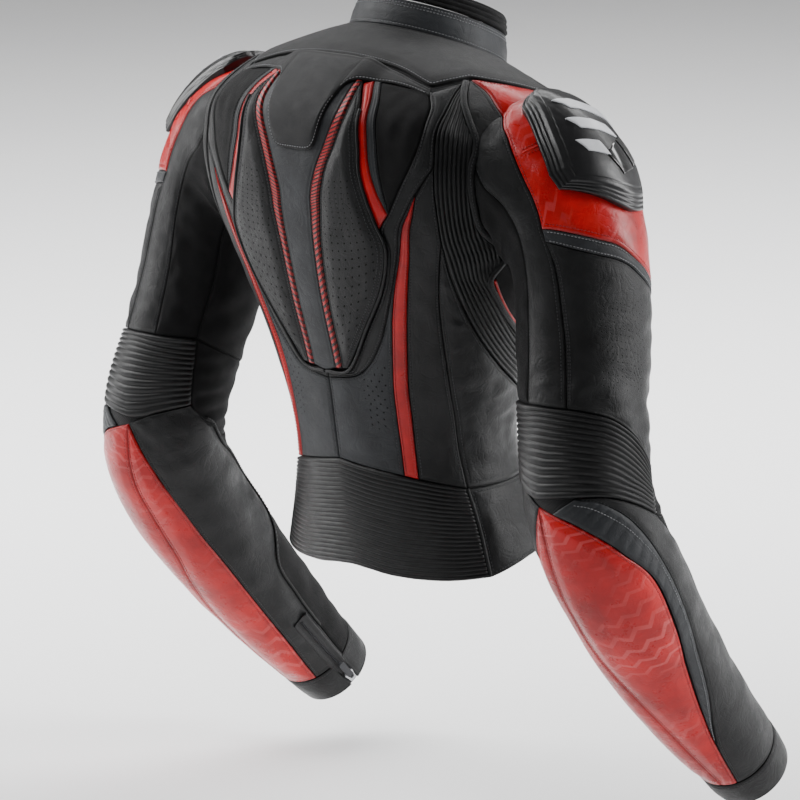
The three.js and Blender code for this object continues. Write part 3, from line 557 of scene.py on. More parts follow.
def leather(name, colour, rough=0.5, grain=1.0, crease=1.0, spec=0.3, coat=0.0, holes=None, pattern=None,
            worn=0.35):
    """Grained leather. holes=(pitch, radius) perforates where the mesh attribute "zone" is 1."""
    material, tree, bsdf = new_material(name)
    s = Shader(tree)
    tone = s.colours(s.ramp(s.noise(22, 4, 0.6), 0.3, 0.7), shade(colour, 0.62), shade(colour, 1.25, 0.004))
    if pattern:
        tone = s.colours(pattern(s), tone, shade(colour, 1.2, 0.12))
    # Painted shade: the colour darkens to a quarter where the "seam" attribute is high, along panel edges and
    # walls where shade falls into the seams.
    tone = s.colours(s.math("MULTIPLY", s.attribute("seam"), 0.55), tone, shade(colour, 0.25))
    scuffs = s.math("MULTIPLY", s.attribute("roll"), s.ramp(s.noise(140, 5, 0.7), 0.45, 0.7), clamp=True)
    tone = s.colours(s.math("MULTIPLY", scuffs, worn), tone, shade(colour, 1.6, 0.03))
    roughness = s.ramp(s.noise(60, 4, 0.6), 0.3, 0.7, rough - 0.07, rough + 0.09)
    wrinkle = s.ramp(s.math("ABSOLUTE", s.math("SUBTRACT", s.noise(46, 4, 0.5, 1.2), 0.5)), 0.0, 0.06)
    normal = s.bump(wrinkle, 0.16 * crease, 0.0012)
    normal = s.bump(s.noise(170, 5, 0.6), 0.22 * crease, 0.0008, normal)
    normal = s.bump(s.ramp(s.cells(820), 0.0, 0.16), 0.28 * grain, 0.0004, normal)
    if holes:
        hole = s.math("MULTIPLY", s.dots(*holes), s.ramp(s.attribute("zone"), 0.45, 0.55))
        # The holes are painted near black: partly the dark backing seen through them, partly painted shade
        # inside each hole.
        tone = s.colours(hole, tone, (0.001, 0.001, 0.001))
        roughness = s.math("ADD", roughness, s.math("MULTIPLY", hole, 0.4), clamp=True)
        normal = s.bump(s.math("SUBTRACT", 1.0, hole), 0.9, 0.0009, normal)
    tree.links.new(tone, bsdf.inputs["Base Color"])
    s.link(roughness, bsdf.inputs["Roughness"])
    tree.links.new(normal, bsdf.inputs["Normal"])
    bsdf.inputs["Specular IOR Level"].default_value = spec
    bsdf.inputs["Coat Weight"].default_value = coat
    bsdf.inputs["Coat Roughness"].default_value = 0.22
    return material


def shards(s):
    """A generic zigzag print that fades in and out, tone on tone, from the UV map in metres."""
    half_wave, row_pitch = 0.011, 0.017
    u, v = s.uv()
    zig = s.math("PINGPONG", s.math("DIVIDE", s.math("ADD", u, s.math("MULTIPLY", v, 0.35)), half_wave), 1.0)
    row = s.math("ADD", s.math("DIVIDE", v, row_pitch), s.math("MULTIPLY", zig, 0.40))
    band = s.ramp(s.math("FRACT", row), 0.70, 0.76)
    return s.math("MULTIPLY", band, s.ramp(s.noise(13, 2), 0.42, 0.66, 0.0, 0.48))


def hatch(s):
    """Slanting bars for the trim beside the spine."""
    u, v = s.uv()
    bars = s.math("ADD", s.math("DIVIDE", u, 0.0078), s.math("DIVIDE", v, 0.0052))
    return s.ramp(s.math("FRACT", bars), 0.46, 0.52)


def cloth(name, colour, rough=0.85, thread=0.0009, strength=0.5, sheen=0.25):
    """Fine knitted or woven cloth from the UV map, with soft mottling."""
    material, tree, bsdf = new_material(name)
    s = Shader(tree)
    u, v = s.uv()
    a = s.math("SINE", s.math("MULTIPLY", u, TURN / thread))
    b = s.math("SINE", s.math("MULTIPLY", s.math("ADD", v, s.math("MULTIPLY", u, 0.5)), TURN / thread))
    tone = s.colours(s.ramp(s.noise(40, 4), 0.3, 0.7), shade(colour, 0.7), shade(colour, 1.3))
    # Painted shade: darker along panel edges and walls, from the "seam" attribute.
    tone = s.colours(s.math("MULTIPLY", s.attribute("seam"), 0.5), tone, shade(colour, 0.3))
    normal = s.bump(s.noise(120, 4, 0.6, 0.5), 0.25, 0.0010)
    normal = s.bump(s.math("MULTIPLY", a, b), strength, 0.0003, normal)
    tree.links.new(tone, bsdf.inputs["Base Color"])
    tree.links.new(normal, bsdf.inputs["Normal"])
    tree.links.new(s.ramp(s.noise(70, 3), 0.3, 0.7, rough - 0.06, rough + 0.06), bsdf.inputs["Roughness"])
    bsdf.inputs["Sheen Weight"].default_value = sheen
    bsdf.inputs["Specular IOR Level"].default_value = 0.18
    return material


def plastic(name, colour, rough, coat=0.0, bumps=0.15, metal=0.0, brushed=False):
    material, tree, bsdf = new_material(name)
    s = Shader(tree)
    tone = s.colours(s.ramp(s.noise(30, 4), 0.3, 0.7), shade(colour, 0.8), shade(colour, 1.2))
    tree.links.new(tone, bsdf.inputs["Base Color"])
    grain = s.noise(900, 2, 0.5, 0, (1, 1, 0.05) if brushed else None)
    tree.links.new(s.bump(grain, bumps, 0.0003), bsdf.inputs["Normal"])
    tree.links.new(s.ramp(s.noise(220, 4), 0.3, 0.7, rough - 0.05, rough + 0.07), bsdf.inputs["Roughness"])
    bsdf.inputs["Metallic"].default_value = metal
    bsdf.inputs["Coat Weight"].default_value = coat
    return material


BLACK = leather("black_leather", (0.0048, 0.0051, 0.0056), 0.45, spec=0.26)
BLACK_HOLES = leather("black_leather_perforated", (0.0050, 0.0053, 0.0058), 0.46, spec=0.26,
                      holes=(0.0076, 0.0009))
FINE_HOLES = leather("black_leather_fine_holes", (0.0050, 0.0053, 0.0058), 0.45, spec=0.26,
                     holes=(0.0062, 0.0006))
GREY = leather("grey_leather", (0.020, 0.022, 0.025), 0.50, spec=0.28, holes=(0.0078, 0.00095))
RED = leather("red_leather", (0.46, 0.0012, 0.0025), 0.30, grain=0.5, crease=0.9, spec=0.32, coat=0.10,
              pattern=shards, worn=0.10)
PLAIN_RED = leather("plain_red_leather", (0.48, 0.0012, 0.0025), 0.34, grain=0.5, crease=0.7, spec=0.32,
                    coat=0.08, worn=0.10)
STRETCH = cloth("stretch_cloth", (0.0026, 0.0026, 0.0030), 0.80, sheen=0.04)
NEOPRENE = cloth("neoprene", (0.0055, 0.0056, 0.0064), 0.58, 0.0007, 0.25, 0.10)
RIBBED = leather("ribbed_leather", (0.0044, 0.0046, 0.0050), 0.42, grain=0.6, crease=0.5, spec=0.28)
TAPE = cloth("zip_tape", (0.010, 0.010, 0.011), 0.8, 0.0011, 0.6)
LINING = cloth("lining_mesh", (0.008, 0.008, 0.009), 0.85, 0.0022, 0.7)
CUP = plastic("cup_plastic", (0.0085, 0.0085, 0.0095), 0.34, bumps=0.25)
WINDOW = plastic("cup_window", (0.003, 0.003, 0.0035), 0.10, coat=0.5, bumps=0.03)
SILVER = plastic("cup_inlay", (0.66, 0.67, 0.70), 0.42, bumps=0.08)
METAL = plastic("slider_metal", (0.50, 0.50, 0.52), 0.28, metal=1.0, bumps=0.2, brushed=True)
PULL = plastic("pull_fabric", (0.035, 0.036, 0.040), 0.75, bumps=0.8)
TEETH = plastic("zip_teeth", (0.05, 0.05, 0.055), 0.35, metal=0.9, bumps=0.1)
THREAD = cloth("black_thread", (0.024, 0.025, 0.028), 0.55, 0.0006, 0.6, 0.2)
GREY_THREAD = cloth("grey_thread", (0.22, 0.225, 0.235), 0.6, 0.0006, 0.6, 0.2)
RED_THREAD = cloth("red_thread", (0.30, 0.004, 0.007), 0.55, 0.0006, 0.6, 0.2)


def hatched():
    """The spine trim: red bars between dark ones."""
    material, tree, bsdf = new_material("red_hatched_trim")
    s = Shader(tree)
    tone = s.colours(hatch(s), (0.50, 0.002, 0.004), (0.016, 0.006, 0.006))
    # Painted shade: darker along the trim's edges and walls, from the "seam" attribute.
    tone = s.colours(s.math("MULTIPLY", s.attribute("seam"), 0.6), tone, (0.01, 0.004, 0.004))
    tree.links.new(tone, bsdf.inputs["Base Color"])
    bsdf.inputs["Roughness"].default_value = 0.42
    normal = s.bump(hatch(s), 0.5, 0.0006)
    tree.links.new(s.bump(s.noise(400, 3), 0.2, 0.0004, normal), bsdf.inputs["Normal"])
    return material


TRIM = hatched()


# ---------------------------------------------------------------- meshes
def mesh_object(name, verts, faces, materials, uv=None, slots=None, attributes=None):
    mesh = bpy.data.meshes.new(name)
    verts = np.asarray(verts, float) * MM
    faces = np.asarray(faces, np.int32)
    mesh.vertices.add(len(verts))
    mesh.vertices.foreach_set("co", verts.astype(np.float32).ravel())
    mesh.loops.add(faces.size)
    mesh.loops.foreach_set("vertex_index", faces.ravel())
    mesh.polygons.add(len(faces))
    mesh.polygons.foreach_set("loop_start", np.arange(0, faces.size, 4, dtype=np.int32))
    if slots is not None:
        mesh.polygons.foreach_set("material_index", np.asarray(slots, np.int32))
    mesh.update(calc_edges=True)
    mesh.polygons.foreach_set("use_smooth", np.ones(len(faces), bool))
    if uv is not None:
        layer = mesh.uv_layers.new(name="UVMap")
        layer.data.foreach_set("uv", (np.asarray(uv) * MM)[faces.ravel()].astype(np.float32).ravel())
    for key, values in (attributes or {}).items():
        mesh.attributes.new(key, "FLOAT", "POINT").data.foreach_set("value", values.astype(np.float32))
    mesh.validate()
    for material in materials:
        mesh.materials.append(material)
    obj = bpy.data.objects.new(name, mesh)
    bpy.context.collection.objects.link(obj)
    return obj


class Build:
    """Quads, with UVs, three attributes and a material slot each, that become one object."""

    def __init__(self):
        self.v, self.f, self.uv, self.slot, self.seam, self.roll, self.zone = [], [], [], [], [], [], []
        self.count = 0

    def add(self, verts, faces, uv=None, slot=0, seam=None, roll=None, zone=None):
        n = len(verts)
        faces = np.asarray(faces)
        self.v.append(verts)
        self.f.append(faces + self.count)
        self.uv.append(verts[:, [0, 2]] if uv is None else uv)
        for store, values in ((self.seam, seam), (self.roll, roll), (self.zone, zone)):
            store.append(np.zeros(n) if values is None else values)
        self.slot.append(np.full(len(faces), slot))
        self.count += n

    def object(self, name, materials, mirror=False):
        verts, faces = np.concatenate(self.v), np.concatenate(self.f)
        if mirror:
            verts = verts * [-1, 1, 1]
            faces = faces[:, ::-1]
        # The "seam" attribute carries the painted shade at panel edges and on their walls.
        return mesh_object(name, verts, faces, materials, np.concatenate(self.uv), np.concatenate(self.slot),
                           {"seam": np.concatenate(self.seam), "roll": np.concatenate(self.roll),
                            "zone": np.concatenate(self.zone)})


def grid_faces(rows, cols):
    i = np.arange(rows * cols).reshape(rows, cols)
    return np.stack([i[:-1, :-1], i[:-1, 1:], i[1:, 1:], i[1:, :-1]], -1).reshape(-1, 4)


def wound(points, faces, normals):
    """Faces turned so that they look along the normals."""
    a, b, c = (points[faces[:, k]] for k in (0, 1, 2))
    if (np.cross(b - a, c - a) * normals[faces[:, 0]]).sum() < 0:
        return faces[:, ::-1]
    return faces


def sheet_grid(build, g, height, rim=2.2, zone=None, slot=0, roll=None):
    """Adds a displaced patch with walls down round its rim. Returns the displaced points."""
    h = height(g) if callable(height) else np.full(g.u.shape, float(height))
    surface = g.p + g.n * h[..., None]
    rows, cols = g.u.shape
    flat = surface.reshape(-1, 3)
    normals = g.n.reshape(-1, 3)
    uv = np.stack([(g.u - 0.5) * g.lu, g.t * g.lt], -1).reshape(-1, 2)
    # Painted shade: the "seam" attribute is strongest at the panel's edge, where the colour is darkened for
    # the shade that falls into the seam.
    seam_shade_mask = np.exp(-g.e / 1.6).ravel()
    roll_mask = np.exp(-((g.e - 1.6) / 1.2) ** 2).ravel() if roll is None else roll.ravel()
    zone_mask = (zone(g) if zone else np.zeros_like(g.u)).ravel()
    faces = wound(flat, grid_faces(rows, cols), normals)
    build.add(flat, faces, uv, slot, seam_shade_mask, roll_mask, zone_mask)
    i = np.arange(rows * cols).reshape(rows, cols)
    loop = np.concatenate([i[0, :-1], i[:-1, -1], i[-1, :0:-1], i[:0:-1, 0]])
    top = flat[loop]
    low = (g.p.reshape(-1, 3) - normals * rim)[loop]
    k = len(loop)
    ring = np.arange(k)
    nxt = (ring + 1) % k
    walls = np.stack([ring, nxt, nxt + k, ring + k], -1)
    centre = flat.mean(0)
    out_way = top - g.p.reshape(-1, 3)[i[rows // 2, cols // 2]]
    walls = wound(np.concatenate([top, low]), walls, np.concatenate([out_way, out_way]))
    # The walls down into the seams get the full painted shade (seam attribute 1).
    build.add(np.concatenate([top, low]), walls, np.concatenate([uv[loop], uv[loop]]), slot, np.ones(2 * k))
    return surface


ACROSS = np.array([0.31, 0.17, 0.93])


def tube(points, radius, sides=8, twist=0.0, flat=1.0, normals=ACROSS):
    """A tube along points, in mm, with closed ends drawn in. twist makes it a two-strand rope."""
    way = unit(np.gradient(points, axis=0))
    side = unit(np.cross(way, normals))
    up = np.cross(side, way)
    run = arc_length(points)
    ang = 2 * np.pi * np.arange(sides) / sides
    rings = []
    for k in range(len(points)):
        r = radius * (1 + twist * np.cos(2 * ang + run[k] * 1.6))
        rings.append(points[k] + (np.cos(ang) * r)[:, None] * side[k]
                     + (np.sin(ang) * r * flat)[:, None] * up[k])
    verts = np.concatenate([points[:1].repeat(sides, 0), *rings, points[-1:].repeat(sides, 0)])
    rows = len(points) + 2
    i = np.arange(rows * sides).reshape(rows, sides)
    j = np.roll(i, -1, 1)
    faces = np.stack([i[:-1], j[:-1], j[1:], i[1:]], -1).reshape(-1, 4)
    along = np.concatenate([[0], run, [run[-1]]])
    uv = np.stack([np.tile(ang * radius, rows), np.repeat(along, sides)], -1)
    return verts, faces, uv


def stitch(build, points, normals, slot=1, pitch=3.4, length=2.3, size=0.42):
    """Adds a row of stitches: short rounded bars lying in the groove along a line."""
    run = arc_length(points)
    if run[-1] < 2 * pitch:
        return
    at = np.linspace(0, run[-1], max(2, int(round(run[-1] / pitch))) + 1)
    centres, up = (np.stack([np.interp(at, run, rows[:, c]) for c in range(3)], -1)
                   for rows in (points, normals))
    way = unit(np.gradient(centres, axis=0))
    side = unit(np.cross(way, up))
    up = np.cross(side, way)
    centres = centres[1:-1] + up[1:-1] * (size * 0.35 + STITCH_LIFT)
    way, side, up = way[1:-1], side[1:-1], up[1:-1]
    ring = [(-0.5, 0.45), (-0.22, 1.0), (0.22, 1.0), (0.5, 0.45)]
    ang = np.pi * 2 * np.arange(6) / 6
    verts = []
    for a, r in ring:
        for phi in ang:
            verts.append(centres + way * a * length + side * math.cos(phi) * size * r
                         + up * (math.sin(phi) * size * r + (r - 1) * size * 0.6))
    verts = np.stack(verts, 1).reshape(-1, 3)
    base = [[k + m, k + (m + 1) % 6, k + 6 + (m + 1) % 6, k + 6 + m] for k in (0, 6, 12) for m in range(6)]
    faces = (np.array(base)[None] + (np.arange(len(centres)) * 24)[:, None, None]).reshape(-1, 4)
    build.add(verts, faces, None, slot)


def stitch_edges(build, g, surface, sides="ft", row=STITCH_LINE):
    """Stitches along the chosen edges of a patch: f, t, s, e are from, to, start and end."""
    cut = slice(row, -row)
    for side in sides:
        pick = {"f": (cut, row), "t": (cut, -1 - row), "s": (row, cut), "e": (-1 - row, cut)}[side]
        stitch(build, surface[pick], g.n[pick])


def chart_line(chart_name, points, count=80, lift=0.0):
    """Points and normals along a smooth line through chart places."""
    p, n = chart_points(chart_name, *edge(points)(np.linspace(0, 1, count)).T)
    return p + n * lift, n


def move(obj, motion, side):
    if motion == "shoulder":
        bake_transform(obj)
    elif motion == "elbow":
        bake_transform(obj)
    elif motion == "torso":
        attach(obj, "torso")
    else:
        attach(obj, f"{motion}_{side}")


def place(build, name, materials, motion="torso", node=None, slot=None, paired=True, padded=None):
    """Makes the piece, once or on both sides, and parents it to its body's empty; shoulder and elbow pieces
    only have their transform baked in. It stands for the CAD node of its own name, where there is one, or for
    the node that is given."""
    for side in ("R", "L") if paired else (None,):
        tag = f"_{side}" if side else ""
        obj = build.object(f"{name}_piece{tag}", materials, mirror=side == "L")
        move(obj, motion, side)
        stands_for = (node or name) + tag
        if stands_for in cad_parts:
            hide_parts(stands_for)


def chart_of(motion):
    return "torso" if motion == "torso" else "sleeve"


def panel(name, frm, to, material, motion="torso", height=topstitched, sides="ft", node=None, slot=None,
          paired=True, thread=THREAD, second="", zone=None, rim=2.2, padded=None, **shape):
    """A piece of leather or cloth between two edges. sides are sewn, and second has a second row."""
    g = coons(chart_of(motion), frm, to, **shape)
    build = Build()
    surface = sheet_grid(build, g, height, rim, zone)
    stitch_edges(build, g, surface, sides)
    stitch_edges(build, g, surface, second, OUTER_LINE)
    place(build, name, [material, thread], motion, node, slot, paired, padded)


def add_cord(build, chart, points, count, lift, radius, sides=8, twist=0.0):
    """Adds a round cord along a line through chart places."""
    build.add(*tube(chart_line(chart, points, count, lift)[0], radius, sides, twist))


def piping(name, material, motion, *cord, **shape):
    """A cord that is a piece of its own."""
    build = Build()
    add_cord(build, chart_of(motion), *cord, **shape)
    place(build, name, [material], motion)


def ribs(count, tall=1.7, along="u", wavy=0.0, power=0.65, edge_depth=1.6):
    """A height function of rounded ribs that run along or across a patch."""
    def height(g):
        share = g.u if along == "u" else g.t
        f = share * count + wavy * noise(g.p, 75)
        rise = np.abs(np.sin(np.pi * f)) ** power
        across_edge = g.et if along == "u" else g.eu
        return (tall * rise - 0.6) * ease(across_edge / 5 + 0.1) + seam(g.e, edge_depth, 2.2)
    return height


def mirror_points(points):
    return [[-p[0], *p[1:]] for p in points]


def corner(p):
    return [p[0], p[1], "corner"]


def shifted(points, a=0.0, b=0.0):
    return [[p[0] + a, p[1] + b, *p[2:]] for p in points]


def both_halves(half, shared=1):
    """A whole outline from its right half. Its first point, if shared, lies on the middle line."""
    return [*reversed(mirror_points(half)), *half[shared:]]


# ---------------------------------------------------------------- collar
COLLAR_ENDS = 176


def ring_edge(share):
    return [[side * COLLAR_ENDS, share] for side in np.linspace(-1, 1, 9)]


def soft_rolls(g):
    return 0.6 + 1.5 * np.abs(np.sin(np.pi * (0.15 + 2.85 * g.u))) ** 0.7 + seam(g.e, 1.2, 1.5)


build = Build()
g = coons("collar", ring_edge(0), ring_edge(0.60), cell=(3.2, 3.6))
surface = sheet_grid(build, g, lambda g: topstitched(g, 1.2, 0.8) + 0.5 * noise(g.p, 60), 2.2)
stitch_edges(build, g, surface, "ft")
stitch_edges(build, g, surface, "t", row=OUTER_LINE)
place(build, "collar_leather", [GREY, GREY_THREAD], slot="grey_leather", paired=False)

build = Build()
g = coons("collar", ring_edge(0.61), ring_edge(0.93), even=(110, 34))
sheet_grid(build, g, soft_rolls, 0.5)
sheet_grid(build, g, lambda g: -3.6 - 0.5 * np.abs(np.sin(np.pi * 3 * g.u)), 0)
add_cord(build, "collar", ring_edge(0.92), 110, -1.3, 2.6, 10)
place(build, "collar_soft_edge", [STRETCH], slot="stretch_cloth", paired=False, padded=0.7)

# ---------------------------------------------------------------- yoke and its second layer
def yoke_height(g):
    """The yoke climbs over the top of the hump near the spine."""
    climb = (HUMP + 2.6) * ease((66 - np.abs(g.a)) / 30) * ease(1 - g.et1 / 26)
    return topstitched(g, 1.0, 0.9) + 1.4 + climb


def under_height(g):
    return topstitched(g, 1.0, 0.3) + (0.3 + (HUMP + 3.7) * ease((74 - g.a) / 30))


yoke_side = [[30, -6], [80, -10], [127, -20, "corner"], [149, -8, "corner"], [200, -7], [252, -8]]
neck_side = [[a, 20] for a in (18, 48, 76, 89, 120, 150)]
panel("yoke", both_halves(neck_side, 0), both_halves(yoke_side, 0), NEOPRENE, slot="stretch_cloth",
      paired=False, sides="t", height=yoke_height, cell=(3.6, 3.6), thread=GREY_THREAD)
panel("yoke_under_layer", [[40, -9], [52, -8.5], [80, -12], [105, -17], [129, -22]],
      [[40, -38], [46, -29], [60, -24], [84, -22], [110, -24], [134, -28.5]], NEOPRENE, sides="t",
      height=under_height, gap=(0.1, 0.3, 0, 0.3), thread=GREY_THREAD, rim=0.5)
panel("spine_tab", both_halves([[0, -8], [12, -8], [24, -8], [36, -8.6], [47, -9.5]]),
      both_halves([[0, -92.5], [20, -91.5], [28.5, -83], [35, -62], [41, -38]]), NEOPRENE,
      slot="stretch_cloth", paired=False, sides="t", rim=-2.5, cell=(2.6, 2.6), thread=GREY_THREAD,
      height=lambda g: HUMP + 4.0 + topstitched(g, 1.6, 1.0))

# ---------------------------------------------------------------- spine, trims and hump
strip_side = [[51, -24], [51, -52], [40, -82], [30, -106], [22, -132], [21, -152], [19, -182], [17, -224],
              [16, -268], [15, -312]]
trim_outer = [[57, -24.5], [60, -52], [50, -82], [40, -106], [33, -132], [31, -152], [27, -182], [24.5, -224],
              [23, -268], [22, -312]]
hump_outer = [[58, -25], [74, -48], [78, -76], [81, -106], [88, -132], [95, -154], [102, -182], [88, -224],
              [60, -268], [30, -312]]
panel("spine_strip", mirror_points(strip_side), strip_side, GREY, slot="grey_leather",
      paired=False, height=lambda g: HUMP + 0.2 + topstitched(g, 1.4, 0.4), sides="", cell=(3.2, 3.4),
      end=[[-15, -312], [0, -316], [15, -312]])
panel("spine_trim", strip_side, trim_outer, TRIM, height=lambda g: HUMP + 0.9 + seam(g.e, 1.8, 2.4),
      thread=RED_THREAD, cell=(1.6, 3.0), gap=(0.2, 0.2, 0.3, 0.3))


def hump_height(g):
    body = ease(g.eu0 / 16) * ease(g.eu1 / 16) * ease(g.et1 / 20) * 2.6
    crease = creases(g, 0.35, 34, 12, (1, 1, 0.6))
    return HUMP + topstitched(g, 1.8, 0.6, 0.7) + body + crease


def lower_part(g):
    return (g.b < -112) * (g.b > -288) * (g.eu1 > 9) * (g.eu0 > 7) * 1.0


panel("hump_side", trim_outer, hump_outer, BLACK_HOLES, slot="black_leather",
      height=hump_height, second="t", zone=lower_part, padded=0.85, gap=(0.2, 0.4, 0.3, 0.4))
hump_rim = [*hump_outer[1:], [0, -317, "corner"]]
piping("hump_piping", BLACK, "torso", shifted(hump_rim, 1.2), 180, HUMP - 0.6, 1.7)

# ---------------------------------------------------------------- crescent, stretch and strap
crescent_inner = [*hump_outer[:5], [98, -163]]
crescent_outer = [[68, -22], [80, -40], [87, -66], [90, -92], [98, -120], [110, -146, "corner"]]
panel("red_crescent", crescent_inner, crescent_outer, PLAIN_RED, slot="red",
      height=lambda g: 0.8 + topstitched(g, 1.8, 0.9), thread=RED_THREAD, cell=(2.2, 3))
strap_inner = [[130, -25], [143, -40], [146, -64], [137, -94], [128, -113], [111, -146, "corner"]]
edging_outer = [[76, -22], [90, -42], [97, -66], [100, -90], [105, -116], [111, -144, "corner"]]
panel("crescent_edging", crescent_outer, edging_outer, GREY, height=lambda g: 0.4 + topstitched(g, 1.4, 0.3),
      cell=(2, 3), gap=(0.2, 0.2, 0.3, 0.3))
panel("stretch_panel", edging_outer, strap_inner, STRETCH, slot="stretch_cloth",
      height=lambda g: seam(g.e, 1.2, 3) - 0.4 + creases(g, 0.6, 26, 8, (1, 1, 0.4)), sides="")

rib_corner = [160, -94, "corner"]
strap_lower = [[99, -164], [103, -184], [89, -226], [61, -270], [31, -315, "corner"], [0, -316]]
meets_stripe = [139, -125, "corner"]
strap_outer = [meets_stripe, [129, -143], [120, -160], [112, -190], [96, -232], [72, -282], [42, -316],
               [0, -325, "corner"]]
panel("back_strap", [*strap_inner, *strap_lower],
      [[150, -13], [159, -40], [160, -66], rib_corner, *strap_outer], BLACK, slot="black_leather",
      height=lambda g: 0.4 + topstitched(g, 1.6, 0.9, 0.7) + creases(g, 0.5, 40, 10, (1, 1, 0.5)))

stripe_inner = [[140, -127], [131, -144], [123, -160], [114, -190], [98, -234], [84, -284], [76, -325],
                [74, -360], [74, -388], [74, -419]]
stripe_outer = [[141, -125, "corner"], [136, -144], [131, -160], [124, -190], [112, -234], [99, -284],
                [91, -325], [89, -360], [88, -388], [88, -422]]


def near_stripe(g):
    return (g.b < -236) * (g.b > -372) * (g.eu1 > 7) * (g.eu1 < 34) * (g.eu0 > 9) * 1.0


panel("lower_back", [*strap_outer, [0, -366], [0, -408]], stripe_inner, GREY, slot="grey_leather",
      zone=near_stripe,
      height=lambda g: topstitched(g, 1.2, 0.5) + creases(g, 0.5, 55, 12))
panel("red_stripe", stripe_inner, stripe_outer, PLAIN_RED, slot="red", cell=(2.2, 3.2),
      height=lambda g: 0.9 + topstitched(g, 1.9, 0.7), thread=RED_THREAD, gap=(0.3, 0.3, 0.4, 0.4))

waist_side = [136, -432, "corner"]
side_seam = [[160, -172, "corner"], [152, -198], [144, -230], [138, -264], [134, -298], [132, -330],
             [132, -360], [132, -394], waist_side]


def folded(g, size=38, tall=1.0, squash=(1, 1, 2.2)):
    """Soft leather: topstitched edges and shallow creases lying across the panel."""
    crease = noise(g.p * np.array(squash), size) + 0.5 * noise(g.p * np.array(squash) + 31, size * 0.55)
    return topstitched(g, 1.3, 0.6) + tall * crease * ease(g.e / 12)


panel("back_side", [rib_corner, *stripe_outer], [[160, -95, "corner"], [161, -146], *side_seam],
      BLACK, slot="black_leather", height=lambda g: folded(g, 44, 0.7, (1, 1, 0.8)))

# ---------------------------------------------------------------- ribbed panel, underarm and side
side_top, side_low = [160, -172, "corner"], [252, -349, "corner"]
rib_left = [[151, -13], [159, -40], [160, -66], rib_corner, [161, -146], side_top, [160, -192], [161, -212],
            [166, -248], [176, -282], [194, -312], [222, -336], side_low]
rib_right = [[154, -12], [172, -30], behind_arm(-62), behind_arm(-92), behind_arm(-126), behind_arm(-156),
             behind_arm(LOW_LEVEL + 4), [203, -212], [207, -236], [216, -258], [234, -282], [262, -302],
             [292, -312, "corner"]]
RIB_PITCH, BAND_WIDTH = 4.4, 7.0


def panel_ribs(g):
    """Ribs beside the inner edge, cut off by a flat band along the armhole."""
    rise = np.abs(np.sin(np.pi * (g.eu0 + 1.2 * noise(g.p, 90)) / RIB_PITCH)) ** 0.65
    on = ease((g.eu1 - BAND_WIDTH + 1) / 1.6)
    return (2.0 * rise - 0.7) * on * ease(g.et / 4 + 0.1) + seam(g.e, 1.6, 2.0) - 0.2 * (1 - on)


panel("ribbed_panel", rib_left, rib_right, RIBBED, slot="black_leather",
      height=panel_ribs, sides="", even=(150, 150), gap=(0.4, 0.4, 0.4, 0.4), padded=0.7)
band_middle = shifted(rib_right[:-1], -3.4)
build = Build()
points, normals = chart_line("torso", band_middle, 150, 0.5)
build.add(*tube(points, BAND_WIDTH / 2, 14, flat=0.42, normals=normals))
stitch(build, *chart_line("torso", band_middle, 150, 1.85))
place(build, "armhole_band", [BLACK, THREAD])
shoulder_seam = [[152, -9.5], [182, -19], corner(behind_arm(-36))]
panel("shoulder_back_strip", [[154, -12.5], [172, -30], behind_arm(-62)], shoulder_seam, BLACK, sides="t",
      end=[behind_arm(-62), behind_arm(-54), behind_arm(-46), behind_arm(-36)], gap=(0.3, 0.4, 0.3, 0.2),
      height=lambda g: (0.4 + seam(np.minimum(g.eu, g.et0), 1.4) + dent(g.eu1, 3.4, 0.9, 0.45)
                        + 0.4 * noise(g.p, 30) * ease(g.eu / 8)))
under_arm = corner(before_arm(LOW_LEVEL + 1))
front_side = [under_arm, [300, -212], [299, -236], [297, -262], [295, -288], [292, -312, "corner"]]
panel("underarm", rib_right[6:],
      [under_arm, [300, -204], [299.5, -220], [299, -240], [297, -262], [294, -288], [292.5, -311, "corner"]],
      STRETCH, sides="", height=lambda g: seam(g.e, 1.2, 3) + creases(g, 0.5, 30, 8),
      gap=(0.4, 0.4, 0.4, 1.0))
piping("underarm_piping", PLAIN_RED, "torso", shifted(rib_right[7:-1], 1.0), 90, 0.4, 1.5)

side_front = [side_low, [252, -386], [252, -426, "corner"]]
panel("side_panel", side_seam, [*rib_left[5:], side_front[2]], BLACK, slot="black_leather",
      height=lambda g: folded(g, 40, 1.1))


# ---------------------------------------------------------------- front
def in_front(level):
    return [float(draft_girth(level)) - 14, level]


arm_levels = (-40, -66, -92, -118, -144, -170)
front_from = [[150, 20], [252, -8, "corner"], *[before_arm(v) for v in arm_levels], *front_side, *side_front]
front_to = [in_front(v) for v in (20, -8, *arm_levels, -192, -214, -236, -262, -288, -312, -349, -386, -422)]
panel("front_panel", front_from, front_to, BLACK, slot="black_leather", sides="t",
      height=lambda g: folded(g, 60, 0.8), cell=(4.2, 4.2))

waist_seam = [[0, -408, "corner"], [74, -419, "corner"], [88, -422, "corner"], waist_side]
hem_back = [[0, -519], [56, -524], [108, -524], [156, -519]]
panel("waist_band", both_halves(waist_seam), both_halves(hem_back), RIBBED, slot="black_leather",
      paired=False, sides="", height=ribs(23, 1.9, "u", 0.12, 0.6), even=(110, 170), padded=0.6,
      gap=(0.35, 0.35, 0.1, 0.1))
piping("waist_piping", BLACK, "torso", [waist_side, [146, -474], [155.5, -518]], 60, -0.3, 1.9)
panel("hem_side", [waist_side, [194, -429], side_front[2], [290, -424.2], corner(in_front(-422))],
      [[156, -519], [205, -502], [262, -494], [330, HEM_FRONT_LEVEL], in_front(HEM_FRONT_LEVEL)], BLACK,
      end=[in_front(v) for v in (-422, -436, -450, -470, HEM_FRONT_LEVEL)],
      slot="black_leather", height=lambda g: folded(g, 50, 0.9), sides="fts")


